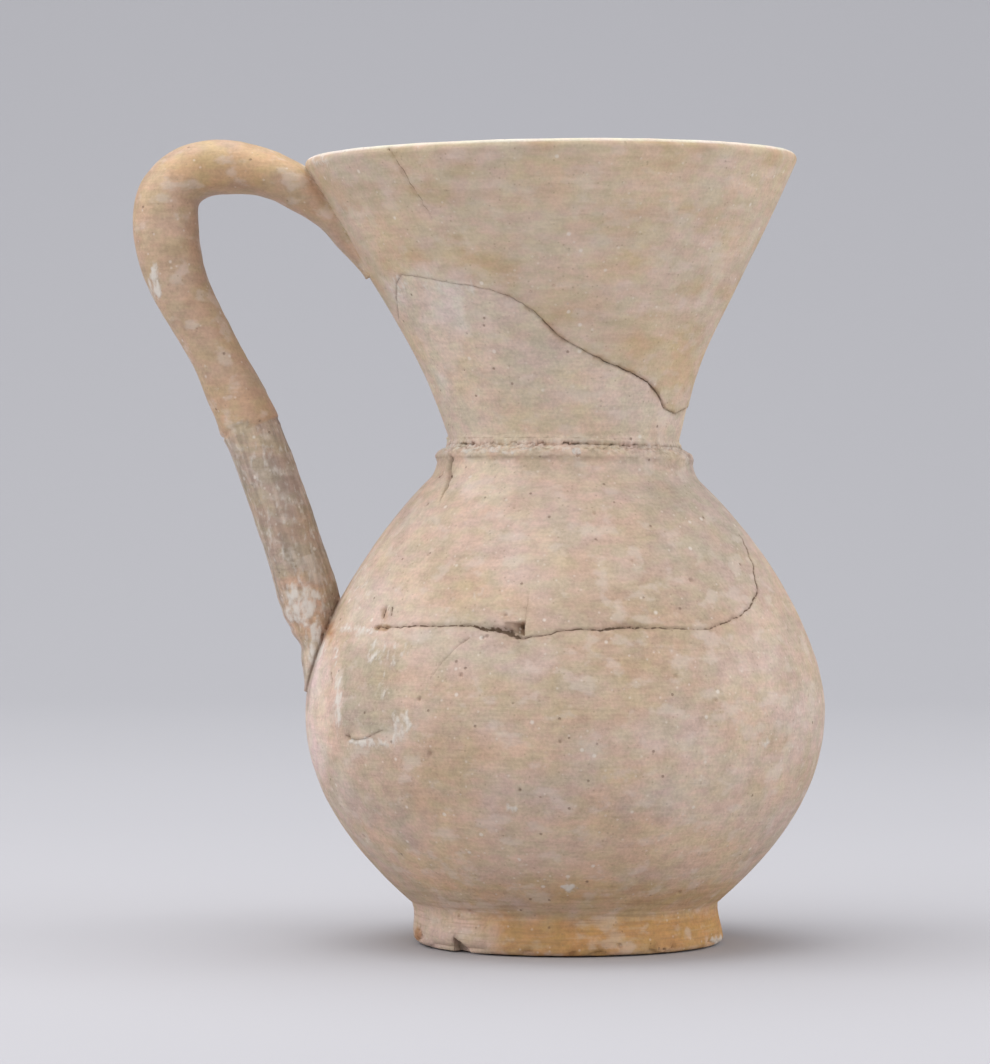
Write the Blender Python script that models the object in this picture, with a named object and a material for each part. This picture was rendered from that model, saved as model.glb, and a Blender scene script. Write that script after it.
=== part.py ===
"""An ancient earthenware ewer: a globular body on a low disc foot, a flared neck and one loop handle.

Run it with: blender --background --python part.py
Units are metres, +Z is up, the origin is the centre of the foot's underside, and the handle stands towards -X.
"""

import math

import bmesh
import bpy
from mathutils import Vector

# Heights on the pot's axis, measured from the underside of the foot
WAIST_HEIGHT = 0.0110
BELLY_HEIGHT = 0.0645
COLLAR_HEIGHT = 0.1292
BEAD_HEIGHT = 0.1335
RIM_HEIGHT = 0.2194

# Outer radii at those heights
FOOT_RADIUS = 0.0443
WAIST_RADIUS = 0.0428
BELLY_RADIUS = 0.0727
COLLAR_RADIUS = 0.0376
BEAD_RADIUS = 0.0358
NECK_BASE_RADIUS = 0.0320
RIM_RADIUS = 0.0687

# Wall thickness, thickest in the floor and thinnest at the lip
FLOOR_THICKNESS = 0.0080
BODY_WALL = 0.0055
NECK_WALL = 0.0046
LIP_THICKNESS = 0.0036

# The foot's worn lower edge, and how far its side is drawn in below the waist
FOOT_EDGE_RADIUS = 0.0015
FOOT_EDGE_STEPS = 4
FOOT_HOLLOW = 0.0003

# How strongly each curve of the outline holds its direction before it turns
FLOOR_PULL = 0.0200
BOWL_PULL = 0.0080
WAIST_PULL = 0.0270
WAIST_SLOPE_DEG = 41.0
BELLY_PULL_DOWN = 0.0185
BELLY_PULL_UP = 0.0175
SHOULDER_PULL = 0.0280
SHOULDER_SLOPE_DEG = 43.9
NECK_PULL = 0.0292
NECK_SLOPE_DEG = 74.0
RIM_PULL = 0.0585
RIM_SLOPE_DEG = 62.6

# The bead on top of the short collar where the neck was set, and the seam pressed in above it
BEAD_RISE = 0.0040
BEAD_SWELL = 0.0006
BEAD_SETBACK = 0.0026
SEAM_HEIGHT = 0.0012
SEAM_DEPTH = 0.0008

# What the wet clay did: the neck leans to the handle, the rim dips to it and the bead lies askew
NECK_LEAN = 0.0041
RIM_DIP_DEG = 0.7
RIM_NOD_DEG = 0.8
BEAD_SLOPE_DEG = 0.8
BEAD_NOD_DEG = 1.8
BEAD_SLOPE_REACH = 0.0160

# The open join across the shoulder, a groove that follows a mended break
JOIN_HEIGHT = 0.0900
JOIN_WIDTH = 0.0012
JOIN_DEPTH = 0.0008
JOIN_START_DEG = -142.0
JOIN_END_DEG = -50.0
JOIN_FADE_DEG = 8.0

# The handle's centre line
HANDLE_STANDOFF = 0.0390
HANDLE_ARCH_BELOW_RIM = 0.0024
HANDLE_ARCH_SETBACK = 0.0162
HANDLE_BEND_BELOW_RIM = 0.0169
HANDLE_TONGUE_BELOW_RIM = 0.0330
HANDLE_TONGUE_DEPTH = 0.0006
HANDLE_FOOT_HEIGHT = 0.0935
HANDLE_FOOT_STANDOFF = 0.0069
HANDLE_TIP_HEIGHT = 0.0700
HANDLE_TIP_DEPTH = 0.0004

# How strongly the handle holds its direction at the ends of each stretch
TONGUE_PULL = 0.0174
ARCH_PULL_IN = 0.0252
ARCH_PULL_OUT = 0.0105
BEND_PULL_UP = 0.0112
BEND_PULL_DOWN = 0.0270
FALL_PULL = 0.0840
FALL_LEAN_DEG = 15.5
TIP_PULL = 0.0100

# The handle's section along its length: share of the length, half thickness, half width
HANDLE_SECTIONS = (
    (0.00, 0.0018, 0.0075),
    (0.07, 0.0040, 0.0105),
    (0.15, 0.0069, 0.0112),
    (0.27, 0.0076, 0.0100),
    (0.36, 0.0092, 0.0098),
    (0.54, 0.0070, 0.0092),
    (0.61, 0.0080, 0.0095),
    (0.67, 0.0074, 0.0093),
    (0.75, 0.0081, 0.0095),
    (0.89, 0.0084, 0.0104),
    (0.92, 0.0067, 0.0108),
    (0.95, 0.0036, 0.0104),
    (1.00, 0.0012, 0.0080),
)

# The notch broken out of the foot's lower edge, seen from outside as a leaning triangle
FOOT_NOTCH_DEG = -131.0
FOOT_NOTCH_WIDTH = 0.0084
FOOT_NOTCH_RISE = 0.0038
FOOT_NOTCH_DEPTH = 0.0052

# The flake lost from the shoulder just above the join, deepest at its right-hand end
FLAKE_DEG = -103.0
FLAKE_LENGTH = 0.0056
FLAKE_RISE = 0.0036
FLAKE_DEPTH = 0.0020

# How finely the round shapes are cut into faces and curves are followed
AROUND = 56
BELLY_STEPS = 9
NECK_STEPS = 8
LIP_STEPS = 5
INSIDE_STEPS = 7
FLOOR_STEPS = 4
HANDLE_STEPS = 34
HANDLE_SIDES = 14
CURVE_SAMPLES = 40
SHARP_DEG = 35.0

# How far a cutter stands out of the wall, and how close two points count as one
CLEAR_OF_SURFACE = 0.0020
SAME_POINT = 0.000001

CLAY_COLOUR = (0.52, 0.40, 0.29, 1.0)
CLAY_ROUGHNESS = 0.88


def bezier(start, start_pull, end_pull, end, steps):
    """Points along one cubic curve, its two ends included."""
    points = []
    for i in range(steps + 1):
        t = i / steps
        s = 1 - t
        points.append(s**3 * start + 3 * s * s * t * start_pull + 3 * s * t * t * end_pull + t**3 * end)
    return points


def heading(degrees):
    """A unit step that climbs at this angle above level, away from the axis."""
    angle = math.radians(degrees)
    return Vector((math.cos(angle), math.sin(angle)))


def belly_below(steps):
    """The outline from the waist up to the widest part."""
    waist = Vector((WAIST_RADIUS, WAIST_HEIGHT))
    widest = Vector((BELLY_RADIUS, BELLY_HEIGHT))
    return bezier(
        waist,
        waist + WAIST_PULL * heading(WAIST_SLOPE_DEG),
        widest - Vector((0, BELLY_PULL_DOWN)),
        widest,
        steps,
    )


def belly_above(steps):
    """The outline from the widest part up to the foot of the collar."""
    widest = Vector((BELLY_RADIUS, BELLY_HEIGHT))
    top = Vector((COLLAR_RADIUS, COLLAR_HEIGHT))
    inward = heading(180 - SHOULDER_SLOPE_DEG)
    return bezier(widest, widest + Vector((0, BELLY_PULL_UP)), top - SHOULDER_PULL * inward, top, steps)


def neck_base():
    seam_top = BEAD_HEIGHT + BEAD_RISE + 2 * SEAM_HEIGHT
    return Vector((NECK_BASE_RADIUS, seam_top))


def lip_centre():
    across = Vector((math.sin(math.radians(RIM_SLOPE_DEG)), -math.cos(math.radians(RIM_SLOPE_DEG))))
    centre = Vector((RIM_RADIUS - LIP_THICKNESS / 2, RIM_HEIGHT - LIP_THICKNESS / 2))
    return centre, across


def neck_outline(steps):
    """The outline from the seam up to the outside of the lip."""
    base = neck_base()
    centre, across = lip_centre()
    edge = centre + across * LIP_THICKNESS / 2
    return bezier(
        base,
        base + NECK_PULL * heading(NECK_SLOPE_DEG),
        edge - RIM_PULL * heading(RIM_SLOPE_DEG),
        edge,
        steps,
    )


def foot_outline():
    """The flat underside from the axis out, the worn edge and the side up to just below the waist."""
    centre = Vector((FOOT_RADIUS - FOOT_EDGE_RADIUS, FOOT_EDGE_RADIUS))
    points = [Vector((0, 0))]
    for i in range(FOOT_EDGE_STEPS + 1):
        turn = math.radians(-90 + 90 * i / FOOT_EDGE_STEPS)
        points.append(centre + FOOT_EDGE_RADIUS * Vector((math.cos(turn), math.sin(turn))))
    waist = Vector((WAIST_RADIUS, WAIST_HEIGHT))
    points.append(points[-1].lerp(waist, 0.5) - Vector((FOOT_HOLLOW, 0)))
    return points


def bead_outline():
    """The bead on top of the shoulder and the pressed seam between it and the neck."""
    foot = Vector((BEAD_RADIUS, BEAD_HEIGHT))
    seam = Vector((NECK_BASE_RADIUS - SEAM_DEPTH, neck_base().y - SEAM_HEIGHT))
    return [
        foot,
        foot + Vector((BEAD_SWELL, BEAD_RISE * 0.20)),
        foot + Vector((BEAD_SWELL * 0.5, BEAD_RISE * 0.50)),
        foot + Vector((-BEAD_SETBACK * 0.45, BEAD_RISE * 0.80)),
        foot + Vector((-BEAD_SETBACK, BEAD_RISE)),
        seam,
    ]


def join_rows(belly):
    """Adds three close rows to the shoulder's outline where the join's groove is pressed in."""
    rows = []
    for low, high in zip(belly, belly[1:]):
        rows.append(low)
        if low.y < JOIN_HEIGHT <= high.y:
            for offset in (-0.5, 0.0, 0.5):
                height = JOIN_HEIGHT + offset * JOIN_WIDTH
                share = (height - low.y) / (high.y - low.y)
                rows.append(low.lerp(high, min(max(share, 0.02), 0.98)))
    rows.append(belly[-1])
    return rows


def lip_outline():
    """The rounded lip, from its outside over the top to its inside."""
    centre, across = lip_centre()
    along = Vector((-across.y, across.x))
    points = []
    for i in range(1, LIP_STEPS + 1):
        turn = math.pi * i / LIP_STEPS
        points.append(centre + (across * math.cos(turn) + along * math.sin(turn)) * LIP_THICKNESS / 2)
    return points


def inset(points, wall_from, wall_to):
    """The outline moved inwards by a wall that grows evenly from one end to the other."""
    moved = []
    for i, point in enumerate(points):
        ahead = points[min(i + 1, len(points) - 1)] - points[max(i - 1, 0)]
        inward = Vector((-ahead.y, ahead.x)).normalized()
        share = i / (len(points) - 1)
        moved.append(point + inward * (wall_from + (wall_to - wall_from) * share))
    return moved


def inside_outline():
    """The hollow, from below the lip down to the middle of the floor."""
    neck = inset(neck_outline(INSIDE_STEPS), NECK_WALL, LIP_THICKNESS)
    shoulder = inset(belly_above(INSIDE_STEPS), BODY_WALL, BODY_WALL)
    bowl = inset(belly_below(INSIDE_STEPS), BODY_WALL, BODY_WALL)
    throat = Vector((NECK_BASE_RADIUS - NECK_WALL, BEAD_HEIGHT))
    floor = Vector((0, FLOOR_THICKNESS))
    corner = bowl[0]
    bottom = bezier(
        floor,
        floor + Vector((FLOOR_PULL, 0)),
        corner - BOWL_PULL * heading(WAIST_SLOPE_DEG),
        corner,
        FLOOR_STEPS,
    )
    upwards = bottom[:-1] + bowl[:-1] + shoulder + [throat] + neck[:-1]
    return upwards[::-1]


def whole_outline():
    outside = foot_outline() + belly_below(BELLY_STEPS) + join_rows(belly_above(BELLY_STEPS))[1:]
    outside += bead_outline() + neck_outline(NECK_STEPS) + lip_outline()
    return outside + inside_outline()


def settled(x, y, z):
    """Where a point of the true turned shape came to lie after drying and firing."""
    climb = min(max((z - BEAD_HEIGHT) / (RIM_HEIGHT - BEAD_HEIGHT), 0), 1)
    near_bead = math.exp(-(((z - BEAD_HEIGHT) / BEAD_SLOPE_REACH) ** 2))
    dip = (x * math.tan(math.radians(RIM_DIP_DEG)) - y * math.tan(math.radians(RIM_NOD_DEG))) * climb**2
    askew = x * math.tan(math.radians(BEAD_SLOPE_DEG)) + y * math.tan(math.radians(BEAD_NOD_DEG))
    return Vector((x - NECK_LEAN * climb, y, z + dip - askew * near_bead))


def wall_radius(height):
    """The outer radius of the shoulder at this height, before the clay settled."""
    outline = belly_above(CURVE_SAMPLES)
    for low, high in zip(outline, outline[1:]):
        if low.y <= height <= high.y:
            return low.lerp(high, (height - low.y) / (high.y - low.y)).x
    return BEAD_RADIUS


def join_depth(x, y, z):
    """How far the join's groove is pressed in at this point of the outer wall."""
    if abs(z - JOIN_HEIGHT) > JOIN_WIDTH / 8:
        return 0.0
    turn = math.degrees(math.atan2(y, x))
    fade = min(turn - JOIN_START_DEG, JOIN_END_DEG - turn) / JOIN_FADE_DEG
    return JOIN_DEPTH * min(max(fade, 0), 1)


def wall_at(height):
    """The outer wall's point on the handle's side at this height, and the wall's upward direction there."""
    outline = belly_below(CURVE_SAMPLES) + belly_above(CURVE_SAMPLES)[1:] + neck_outline(CURVE_SAMPLES)
    for low, high in zip(outline, outline[1:]):
        if low.y <= height <= high.y:
            share = (height - low.y) / (high.y - low.y)
            radius = low.lerp(high, share).x
            here = settled(-radius, 0, height)
            climb = (settled(-high.x, 0, high.y) - settled(-low.x, 0, low.y)).normalized()
            return here, climb
    raise ValueError(f"the wall doesn't reach a height of {height}")


def handle_line():
    """The centre line of the handle, from the tongue on the neck over the arch to the tip on the belly."""
    tongue, wall_climb = wall_at(RIM_HEIGHT - HANDLE_TONGUE_BELOW_RIM)
    tongue += Vector((HANDLE_TONGUE_DEPTH, 0, 0))
    reach = RIM_RADIUS + NECK_LEAN + HANDLE_STANDOFF
    arch = Vector((-reach + HANDLE_ARCH_SETBACK, 0, RIM_HEIGHT - HANDLE_ARCH_BELOW_RIM))
    bend = Vector((-reach, 0, RIM_HEIGHT - HANDLE_BEND_BELOW_RIM))
    foot = wall_at(HANDLE_FOOT_HEIGHT)[0] + Vector((-HANDLE_FOOT_STANDOFF, 0, 0))
    tip, tip_climb = wall_at(HANDLE_TIP_HEIGHT)
    tip += Vector((HANDLE_TIP_DEPTH, 0, 0))
    lean = math.radians(FALL_LEAN_DEG)
    fall = Vector((math.sin(lean), 0, -math.cos(lean)))
    out = Vector((-1, 0, 0))
    up = Vector((0, 0, 1))
    stretches = (
        (tongue, tongue + TONGUE_PULL * wall_climb, arch - ARCH_PULL_IN * out, arch),
        (arch, arch + ARCH_PULL_OUT * out, bend + BEND_PULL_UP * up, bend),
        (bend, bend - BEND_PULL_DOWN * up, foot - FALL_PULL * fall, foot),
        (foot, foot + TIP_PULL * fall, tip + TIP_PULL * tip_climb, tip),
    )
    line = [tongue]
    for stretch in stretches:
        line += bezier(*stretch, CURVE_SAMPLES)[1:]
    return line


def evenly(line, steps):
    """The same line cut into this many equal stretches."""
    lengths = [0.0]
    for a, b in zip(line, line[1:]):
        lengths.append(lengths[-1] + (b - a).length)
    points = []
    for i in range(steps + 1):
        wanted = lengths[-1] * i / steps
        k = min(max(j for j, at in enumerate(lengths) if at <= wanted), len(line) - 2)
        share = (wanted - lengths[k]) / (lengths[k + 1] - lengths[k])
        points.append(line[k].lerp(line[k + 1], min(share, 1)))
    return points


def section_at(share):
    """The handle's half thickness and half width at this share of its length."""
    for (a, thick_a, wide_a), (b, thick_b, wide_b) in zip(HANDLE_SECTIONS, HANDLE_SECTIONS[1:]):
        if a <= share <= b:
            t = (share - a) / (b - a)
            t = t * t * (3 - 2 * t)
            return thick_a + (thick_b - thick_a) * t, wide_a + (wide_b - wide_a) * t
    return HANDLE_SECTIONS[-1][1:]


def mesh_object(name, bm, hidden=False):
    bmesh.ops.recalc_face_normals(bm, faces=bm.faces)
    mesh = bpy.data.meshes.new(name)
    bm.to_mesh(mesh)
    bm.free()
    obj = bpy.data.objects.new(name, mesh)
    bpy.context.scene.collection.objects.link(obj)
    if hidden:
        obj.hide_render = True
        obj.display_type = "WIRE"
    return obj


def turned_vessel():
    """The thrown body, foot and neck as one hollow wall, spun from the outline."""
    bm = bmesh.new()
    points = [bm.verts.new((p.x, 0, p.y)) for p in whole_outline()]
    edges = [bm.edges.new(pair) for pair in zip(points, points[1:])]
    bmesh.ops.spin(
        bm,
        geom=points + edges,
        cent=(0, 0, 0),
        axis=(0, 0, 1),
        angle=math.tau,
        steps=AROUND,
        use_duplicate=False,
    )
    bmesh.ops.remove_doubles(bm, verts=bm.verts, dist=SAME_POINT)
    for v in bm.verts:
        x, y, z = v.co
        radius = v.co.xy.length
        if radius > wall_radius(z) - BODY_WALL / 2:
            v.co.xy *= 1 - join_depth(x, y, z) / radius
        v.co = settled(*v.co)
    return mesh_object("ewer", bm)


def handle():
    """The pulled handle, a loft of oval sections along its centre line, closed at both ends."""
    line = evenly(handle_line(), HANDLE_STEPS)
    bm = bmesh.new()
    rings = []
    for i, centre in enumerate(line):
        ahead = (line[min(i + 1, HANDLE_STEPS)] - line[max(i - 1, 0)]).normalized()
        across = ahead.cross(Vector((0, 1, 0)))
        thick, wide = section_at(i / HANDLE_STEPS)
        ring = []
        for k in range(HANDLE_SIDES):
            turn = math.tau * k / HANDLE_SIDES
            offset = across * thick * math.cos(turn) + Vector((0, wide * math.sin(turn), 0))
            ring.append(bm.verts.new(centre + offset))
        rings.append(ring)
    for low, high in zip(rings, rings[1:]):
        for k in range(HANDLE_SIDES):
            n = (k + 1) % HANDLE_SIDES
            bm.faces.new((low[k], low[n], high[n], high[k]))
    bm.faces.new(rings[0])
    bm.faces.new(rings[-1])
    return mesh_object("handle_loop", bm, hidden=True)


def wedge(name, outside, depths, degrees, radius, height):
    """A cutter whose face lies just outside the wall, and whose back has its own depth at each corner.

    The corners are given as seen from outside the pot, (to the right, upwards), from the cutter's own middle.
    """
    turn = math.radians(degrees)
    out = Vector((math.cos(turn), math.sin(turn), 0))
    right = Vector((-math.sin(turn), math.cos(turn), 0))
    middle = out * radius + Vector((0, 0, height))
    bm = bmesh.new()
    front = []
    back = []
    for (u, v), depth in zip(outside, depths):
        corner = middle + right * u + Vector((0, 0, v))
        front.append(bm.verts.new(corner + out * CLEAR_OF_SURFACE))
        back.append(bm.verts.new(corner - out * depth))
    for i in range(len(front)):
        n = (i + 1) % len(front)
        bm.faces.new((front[i], front[n], back[n], back[i]))
    bm.faces.new(front)
    bm.faces.new(back)
    bmesh.ops.triangulate(bm, faces=bm.faces)
    return mesh_object(name, bm, hidden=True)


def foot_notch():
    """The broken notch in the foot's lower edge: upright on its left, sloping down to the right."""
    left = -FOOT_NOTCH_WIDTH / 2
    right = FOOT_NOTCH_WIDTH / 2
    outside = (
        (left, -CLEAR_OF_SURFACE),
        (right + CLEAR_OF_SURFACE / 2, -CLEAR_OF_SURFACE),
        (0.0, FOOT_NOTCH_RISE * 0.62),
        (left + FOOT_NOTCH_WIDTH * 0.12, FOOT_NOTCH_RISE),
    )
    depths = (FOOT_NOTCH_DEPTH, FOOT_NOTCH_DEPTH * 0.7, FOOT_NOTCH_DEPTH * 0.5, FOOT_NOTCH_DEPTH * 0.6)
    return wedge("foot_notch_cutter", outside, depths, FOOT_NOTCH_DEG, FOOT_RADIUS, 0)


def shoulder_flake():
    """The flake: a thin point at its left, and a steep edge at its right where it is deepest."""
    outside = (
        (-FLAKE_LENGTH * 0.40, FLAKE_RISE * 0.05),
        (FLAKE_LENGTH * 0.45, -FLAKE_RISE * 0.45),
        (FLAKE_LENGTH * 0.60, FLAKE_RISE * 0.55),
    )
    depths = (FLAKE_DEPTH * 0.2, FLAKE_DEPTH * 0.7, FLAKE_DEPTH)
    return wedge(
        "shoulder_flake_cutter", outside, depths, FLAKE_DEG, wall_radius(JOIN_HEIGHT), JOIN_HEIGHT
    )


def add_boolean(obj, other, operation):
    modifier = obj.modifiers.new(other.name, "BOOLEAN")
    modifier.operation = operation
    modifier.object = other


def fired_clay():
    material = bpy.data.materials.new("fired_clay")
    material.use_nodes = True
    shader = material.node_tree.nodes["Principled BSDF"]
    shader.inputs["Base Color"].default_value = CLAY_COLOUR
    shader.inputs["Roughness"].default_value = CLAY_ROUGHNESS
    shader.inputs["Metallic"].default_value = 0.0
    return material


def main():
    for old in list(bpy.data.objects):
        bpy.data.objects.remove(old)
    ewer = turned_vessel()
    add_boolean(ewer, handle(), "UNION")
    add_boolean(ewer, foot_notch(), "DIFFERENCE")
    add_boolean(ewer, shoulder_flake(), "DIFFERENCE")
    ewer.data.materials.append(fired_clay())
    ewer.data.shade_smooth()
    ewer.data.set_sharp_from_angle(angle=math.radians(SHARP_DEG))


main()
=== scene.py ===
"""The looks of an ancient unglazed ewer: thrown, broken, mended with glue and plaster, and stained by the ground.

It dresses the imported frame. Units are metres, +Z is up, and the handle stands towards -X.
"""

import math

import bmesh
import bpy
import numpy as np
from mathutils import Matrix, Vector, noise


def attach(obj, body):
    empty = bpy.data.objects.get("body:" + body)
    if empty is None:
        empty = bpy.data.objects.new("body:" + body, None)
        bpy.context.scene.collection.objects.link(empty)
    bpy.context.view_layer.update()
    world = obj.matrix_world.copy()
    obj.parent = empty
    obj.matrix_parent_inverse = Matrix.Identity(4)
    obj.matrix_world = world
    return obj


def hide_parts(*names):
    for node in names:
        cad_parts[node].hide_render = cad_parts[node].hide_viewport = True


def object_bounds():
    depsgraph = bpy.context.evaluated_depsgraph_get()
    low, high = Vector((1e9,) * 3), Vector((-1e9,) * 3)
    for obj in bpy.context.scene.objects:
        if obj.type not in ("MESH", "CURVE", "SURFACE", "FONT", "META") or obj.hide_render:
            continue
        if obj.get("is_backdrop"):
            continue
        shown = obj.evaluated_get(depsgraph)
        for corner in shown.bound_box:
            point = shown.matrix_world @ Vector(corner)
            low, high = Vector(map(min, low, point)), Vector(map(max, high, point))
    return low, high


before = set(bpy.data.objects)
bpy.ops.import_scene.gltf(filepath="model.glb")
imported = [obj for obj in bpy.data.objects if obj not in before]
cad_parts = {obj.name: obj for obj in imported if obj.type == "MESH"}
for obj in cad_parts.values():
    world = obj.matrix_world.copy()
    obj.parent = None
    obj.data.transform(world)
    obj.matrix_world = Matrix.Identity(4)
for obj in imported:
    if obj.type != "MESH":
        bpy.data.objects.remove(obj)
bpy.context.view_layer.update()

# The view: a long lens, level with the pot's throat and a little to the left of it.
# Marks on the pot are placed by where they show in this view, in pixels of the 990 x 1064 photograph.
VIEW_WIDTH_PX = 990
VIEW_HEIGHT_PX = 1064
FOCAL_PX = 4857
SENSOR_MM = 36.0
EYE = Vector((-0.0196, -1.360, 0.138))
EYE_DIP_DEG = 0.991


def placed(name, data):
    """An object of this mesh, camera or lamp, in the scene."""
    thing = bpy.data.objects.new(name, data)
    bpy.context.scene.collection.objects.link(thing)
    return thing


def seen_at(points):
    """Where points of the pot show in the view, in pixels of the photograph, as two columns."""
    dip = math.radians(EYE_DIP_DEG)
    off = points - np.array(EYE)
    depth = off[:, 1] * math.cos(dip) - off[:, 2] * math.sin(dip)
    rise = off[:, 1] * math.sin(dip) + off[:, 2] * math.cos(dip)
    across = VIEW_WIDTH_PX / 2 + FOCAL_PX * off[:, 0] / depth
    down = VIEW_HEIGHT_PX / 2 - FOCAL_PX * rise / depth
    return np.stack([across, down], axis=1)


camera_data = bpy.data.cameras.new("long_lens")
camera_data.sensor_width = SENSOR_MM
camera_data.lens = FOCAL_PX / VIEW_HEIGHT_PX * SENSOR_MM
camera_data.clip_start = 0.05
camera = placed("long_lens", camera_data)
camera.location = EYE
camera.rotation_euler = (math.radians(90 - EYE_DIP_DEG), 0, 0)
bpy.context.scene.camera = camera

# The thrown wall: foot, bowl, shoulder and neck turned in one hollow form on the wheel.
# Fine buff clay, pulled thin towards the lip, with the faint rings that the potter's fingers left.
WAIST_HEIGHT = 0.0110
BELLY_HEIGHT = 0.0645
COLLAR_HEIGHT = 0.1292
BEAD_HEIGHT = 0.1335
RIM_HEIGHT = 0.2194
FOOT_RADIUS = 0.0443
WAIST_RADIUS = 0.0428
BELLY_RADIUS = 0.0727
COLLAR_RADIUS = 0.0376
BEAD_RADIUS = 0.0358
NECK_BASE_RADIUS = 0.0320
RIM_RADIUS = 0.0687
FLOOR_THICKNESS = 0.0080
BODY_WALL = 0.0055
NECK_WALL = 0.0046
LIP_THICKNESS = 0.0036
FOOT_EDGE_RADIUS = 0.0015
BEAD_RISE = 0.0040
BEAD_SETBACK = 0.0026
SEAM_HEIGHT = 0.0012
SEAM_DEPTH = 0.0009

# Where the outline runs at its turning points, and how far each pull on the clay reaches from there.
BOWL_CLIMB_DEG = 41.0
SHOULDER_LEAN_DEG = 136.1
NECK_BASE_DEG = 74.0
NECK_FLARE_DEG = 62.6
WAIST_PULL = 0.0270
BELLY_PULL_DOWN = 0.0185
BELLY_PULL_UP = 0.0175
COLLAR_PULL = 0.0280
NECK_BASE_PULL = 0.0292
RIM_PULL = 0.0585
FLOOR_FLAT = 0.0200
FLOOR_TURN_PULL = 0.0080

# How the pot warped: the neck leans, the rim dips, and the bead slopes.
NECK_LEAN = 0.0041
RIM_DIP_DEG = 0.7
RIM_NOD_DEG = 0.8
BEAD_SLOPE_DEG = 0.8
BEAD_NOD_DEG = 1.8
BEAD_SLOPE_REACH = 0.0160

OUTSIDE_ROW = 0.0021
INSIDE_ROW = 0.0050
AROUND = 208
SOLE_ROWS = 8


def bend(start, start_pull, end_pull, end, spacing):
    """One curve of the outline, cut into even rows about this far apart, without its last point."""
    t = np.linspace(0, 1, 200)[:, None]
    s = 1 - t
    line = s**3 * start + 3 * s * s * t * start_pull + 3 * s * t * t * end_pull + t**3 * end
    gone = np.concatenate([[0], np.cumsum(np.linalg.norm(np.diff(line, axis=0), axis=1))])
    rows = max(2, round(gone[-1] / spacing))
    wanted = np.linspace(0, gone[-1], rows + 1)[:-1]
    return np.stack([np.interp(wanted, gone, column) for column in line.T], axis=1)


def climbing(degrees):
    return np.array([math.cos(math.radians(degrees)), math.sin(math.radians(degrees))])


def arc(centre, radius, start_deg, end_deg, rows):
    turns = np.radians(np.linspace(start_deg, end_deg, rows + 1)[:-1])
    return centre + radius * np.stack([np.cos(turns), np.sin(turns)], axis=1)


waist = np.array([WAIST_RADIUS, WAIST_HEIGHT])
widest = np.array([BELLY_RADIUS, BELLY_HEIGHT])
collar = np.array([COLLAR_RADIUS, COLLAR_HEIGHT])
bead = np.array([BEAD_RADIUS, BEAD_HEIGHT])
bead_top = bead + (-BEAD_SETBACK, BEAD_RISE)
neck_base = np.array([NECK_BASE_RADIUS, BEAD_HEIGHT + BEAD_RISE + 2 * SEAM_HEIGHT])
seam_heights = bead_top[1] + SEAM_HEIGHT * np.array([0.0, 0.35, 0.6, 0.72, 0.98, 1.1, 1.35])
seam_radii = neck_base[0] + SEAM_DEPTH * np.array([1.3, 0.9, -0.5, -0.75, -0.75, 0.05, 0.15])
SEAM_MIDDLE = bead_top[1] + SEAM_HEIGHT * 0.85
lip_middle = np.array([RIM_RADIUS - LIP_THICKNESS / 2, RIM_HEIGHT - LIP_THICKNESS / 2])
lip_tilt_deg = NECK_FLARE_DEG - 90
lip_edge = lip_middle + LIP_THICKNESS / 2 * climbing(lip_tilt_deg)
foot_edge = np.array([FOOT_RADIUS - FOOT_EDGE_RADIUS, FOOT_EDGE_RADIUS])


def bowl_below(row):
    return bend(waist, waist + WAIST_PULL * climbing(BOWL_CLIMB_DEG), widest - (0, BELLY_PULL_DOWN), widest, row)


def bowl_above(row):
    pulled = collar - COLLAR_PULL * climbing(SHOULDER_LEAN_DEG)
    return bend(widest, widest + (0, BELLY_PULL_UP), pulled, collar, row)


def neck(row):
    pulled = lip_edge - RIM_PULL * climbing(NECK_FLARE_DEG)
    return bend(neck_base, neck_base + NECK_BASE_PULL * climbing(NECK_BASE_DEG), pulled, lip_edge, row)


def moved_in(line, wall_from, wall_to):
    """A stretch of the outline moved into the clay by a wall that changes evenly along it."""
    ahead = np.gradient(line, axis=0)
    inward = np.stack([-ahead[:, 1], ahead[:, 0]], axis=1) / np.linalg.norm(ahead, axis=1)[:, None]
    return line + inward * np.linspace(wall_from, wall_to, len(line))[:, None]


neck_rows = neck(OUTSIDE_ROW)
neck_rows = neck_rows[neck_rows[:, 1] > neck_base[1] + 0.0045]
foot_side = foot_edge + (FOOT_EDGE_RADIUS, 0)
outside_rows = np.concatenate(
    [
        np.stack([np.linspace(0, foot_edge[0], SOLE_ROWS + 1)[:-1], np.zeros(SOLE_ROWS)], axis=1),
        arc(foot_edge, FOOT_EDGE_RADIUS, -90, 0, 4),
        bend(foot_side, foot_edge + (0.0013, 0.0030), waist - (0.0004, 0.003), waist, OUTSIDE_ROW),
        bowl_below(OUTSIDE_ROW),
        bowl_above(OUTSIDE_ROW),
        bend(collar, collar + (-0.001, 0.001), bead - (0, 0.001), bead, 0.0008),
        bend(bead, bead + (0.0010, 0.0008), bead + (0.0004, BEAD_RISE * 0.85), bead_top, 0.0005),
        np.stack([seam_radii, seam_heights], axis=1),
        bend(neck_base, neck_base + (0.0003, 0.0010), neck_rows[0] - (0.0003, 0.0010), neck_rows[0], 0.0006),
        neck_rows,
        arc(lip_middle, LIP_THICKNESS / 2, lip_tilt_deg, lip_tilt_deg + 180, 10),
    ]
)
inside_neck = moved_in(neck(INSIDE_ROW), NECK_WALL, LIP_THICKNESS)[1:]
inside_shoulder = moved_in(bowl_above(INSIDE_ROW), BODY_WALL, BODY_WALL)
inside_bowl = moved_in(bowl_below(INSIDE_ROW), BODY_WALL, BODY_WALL)
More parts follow.
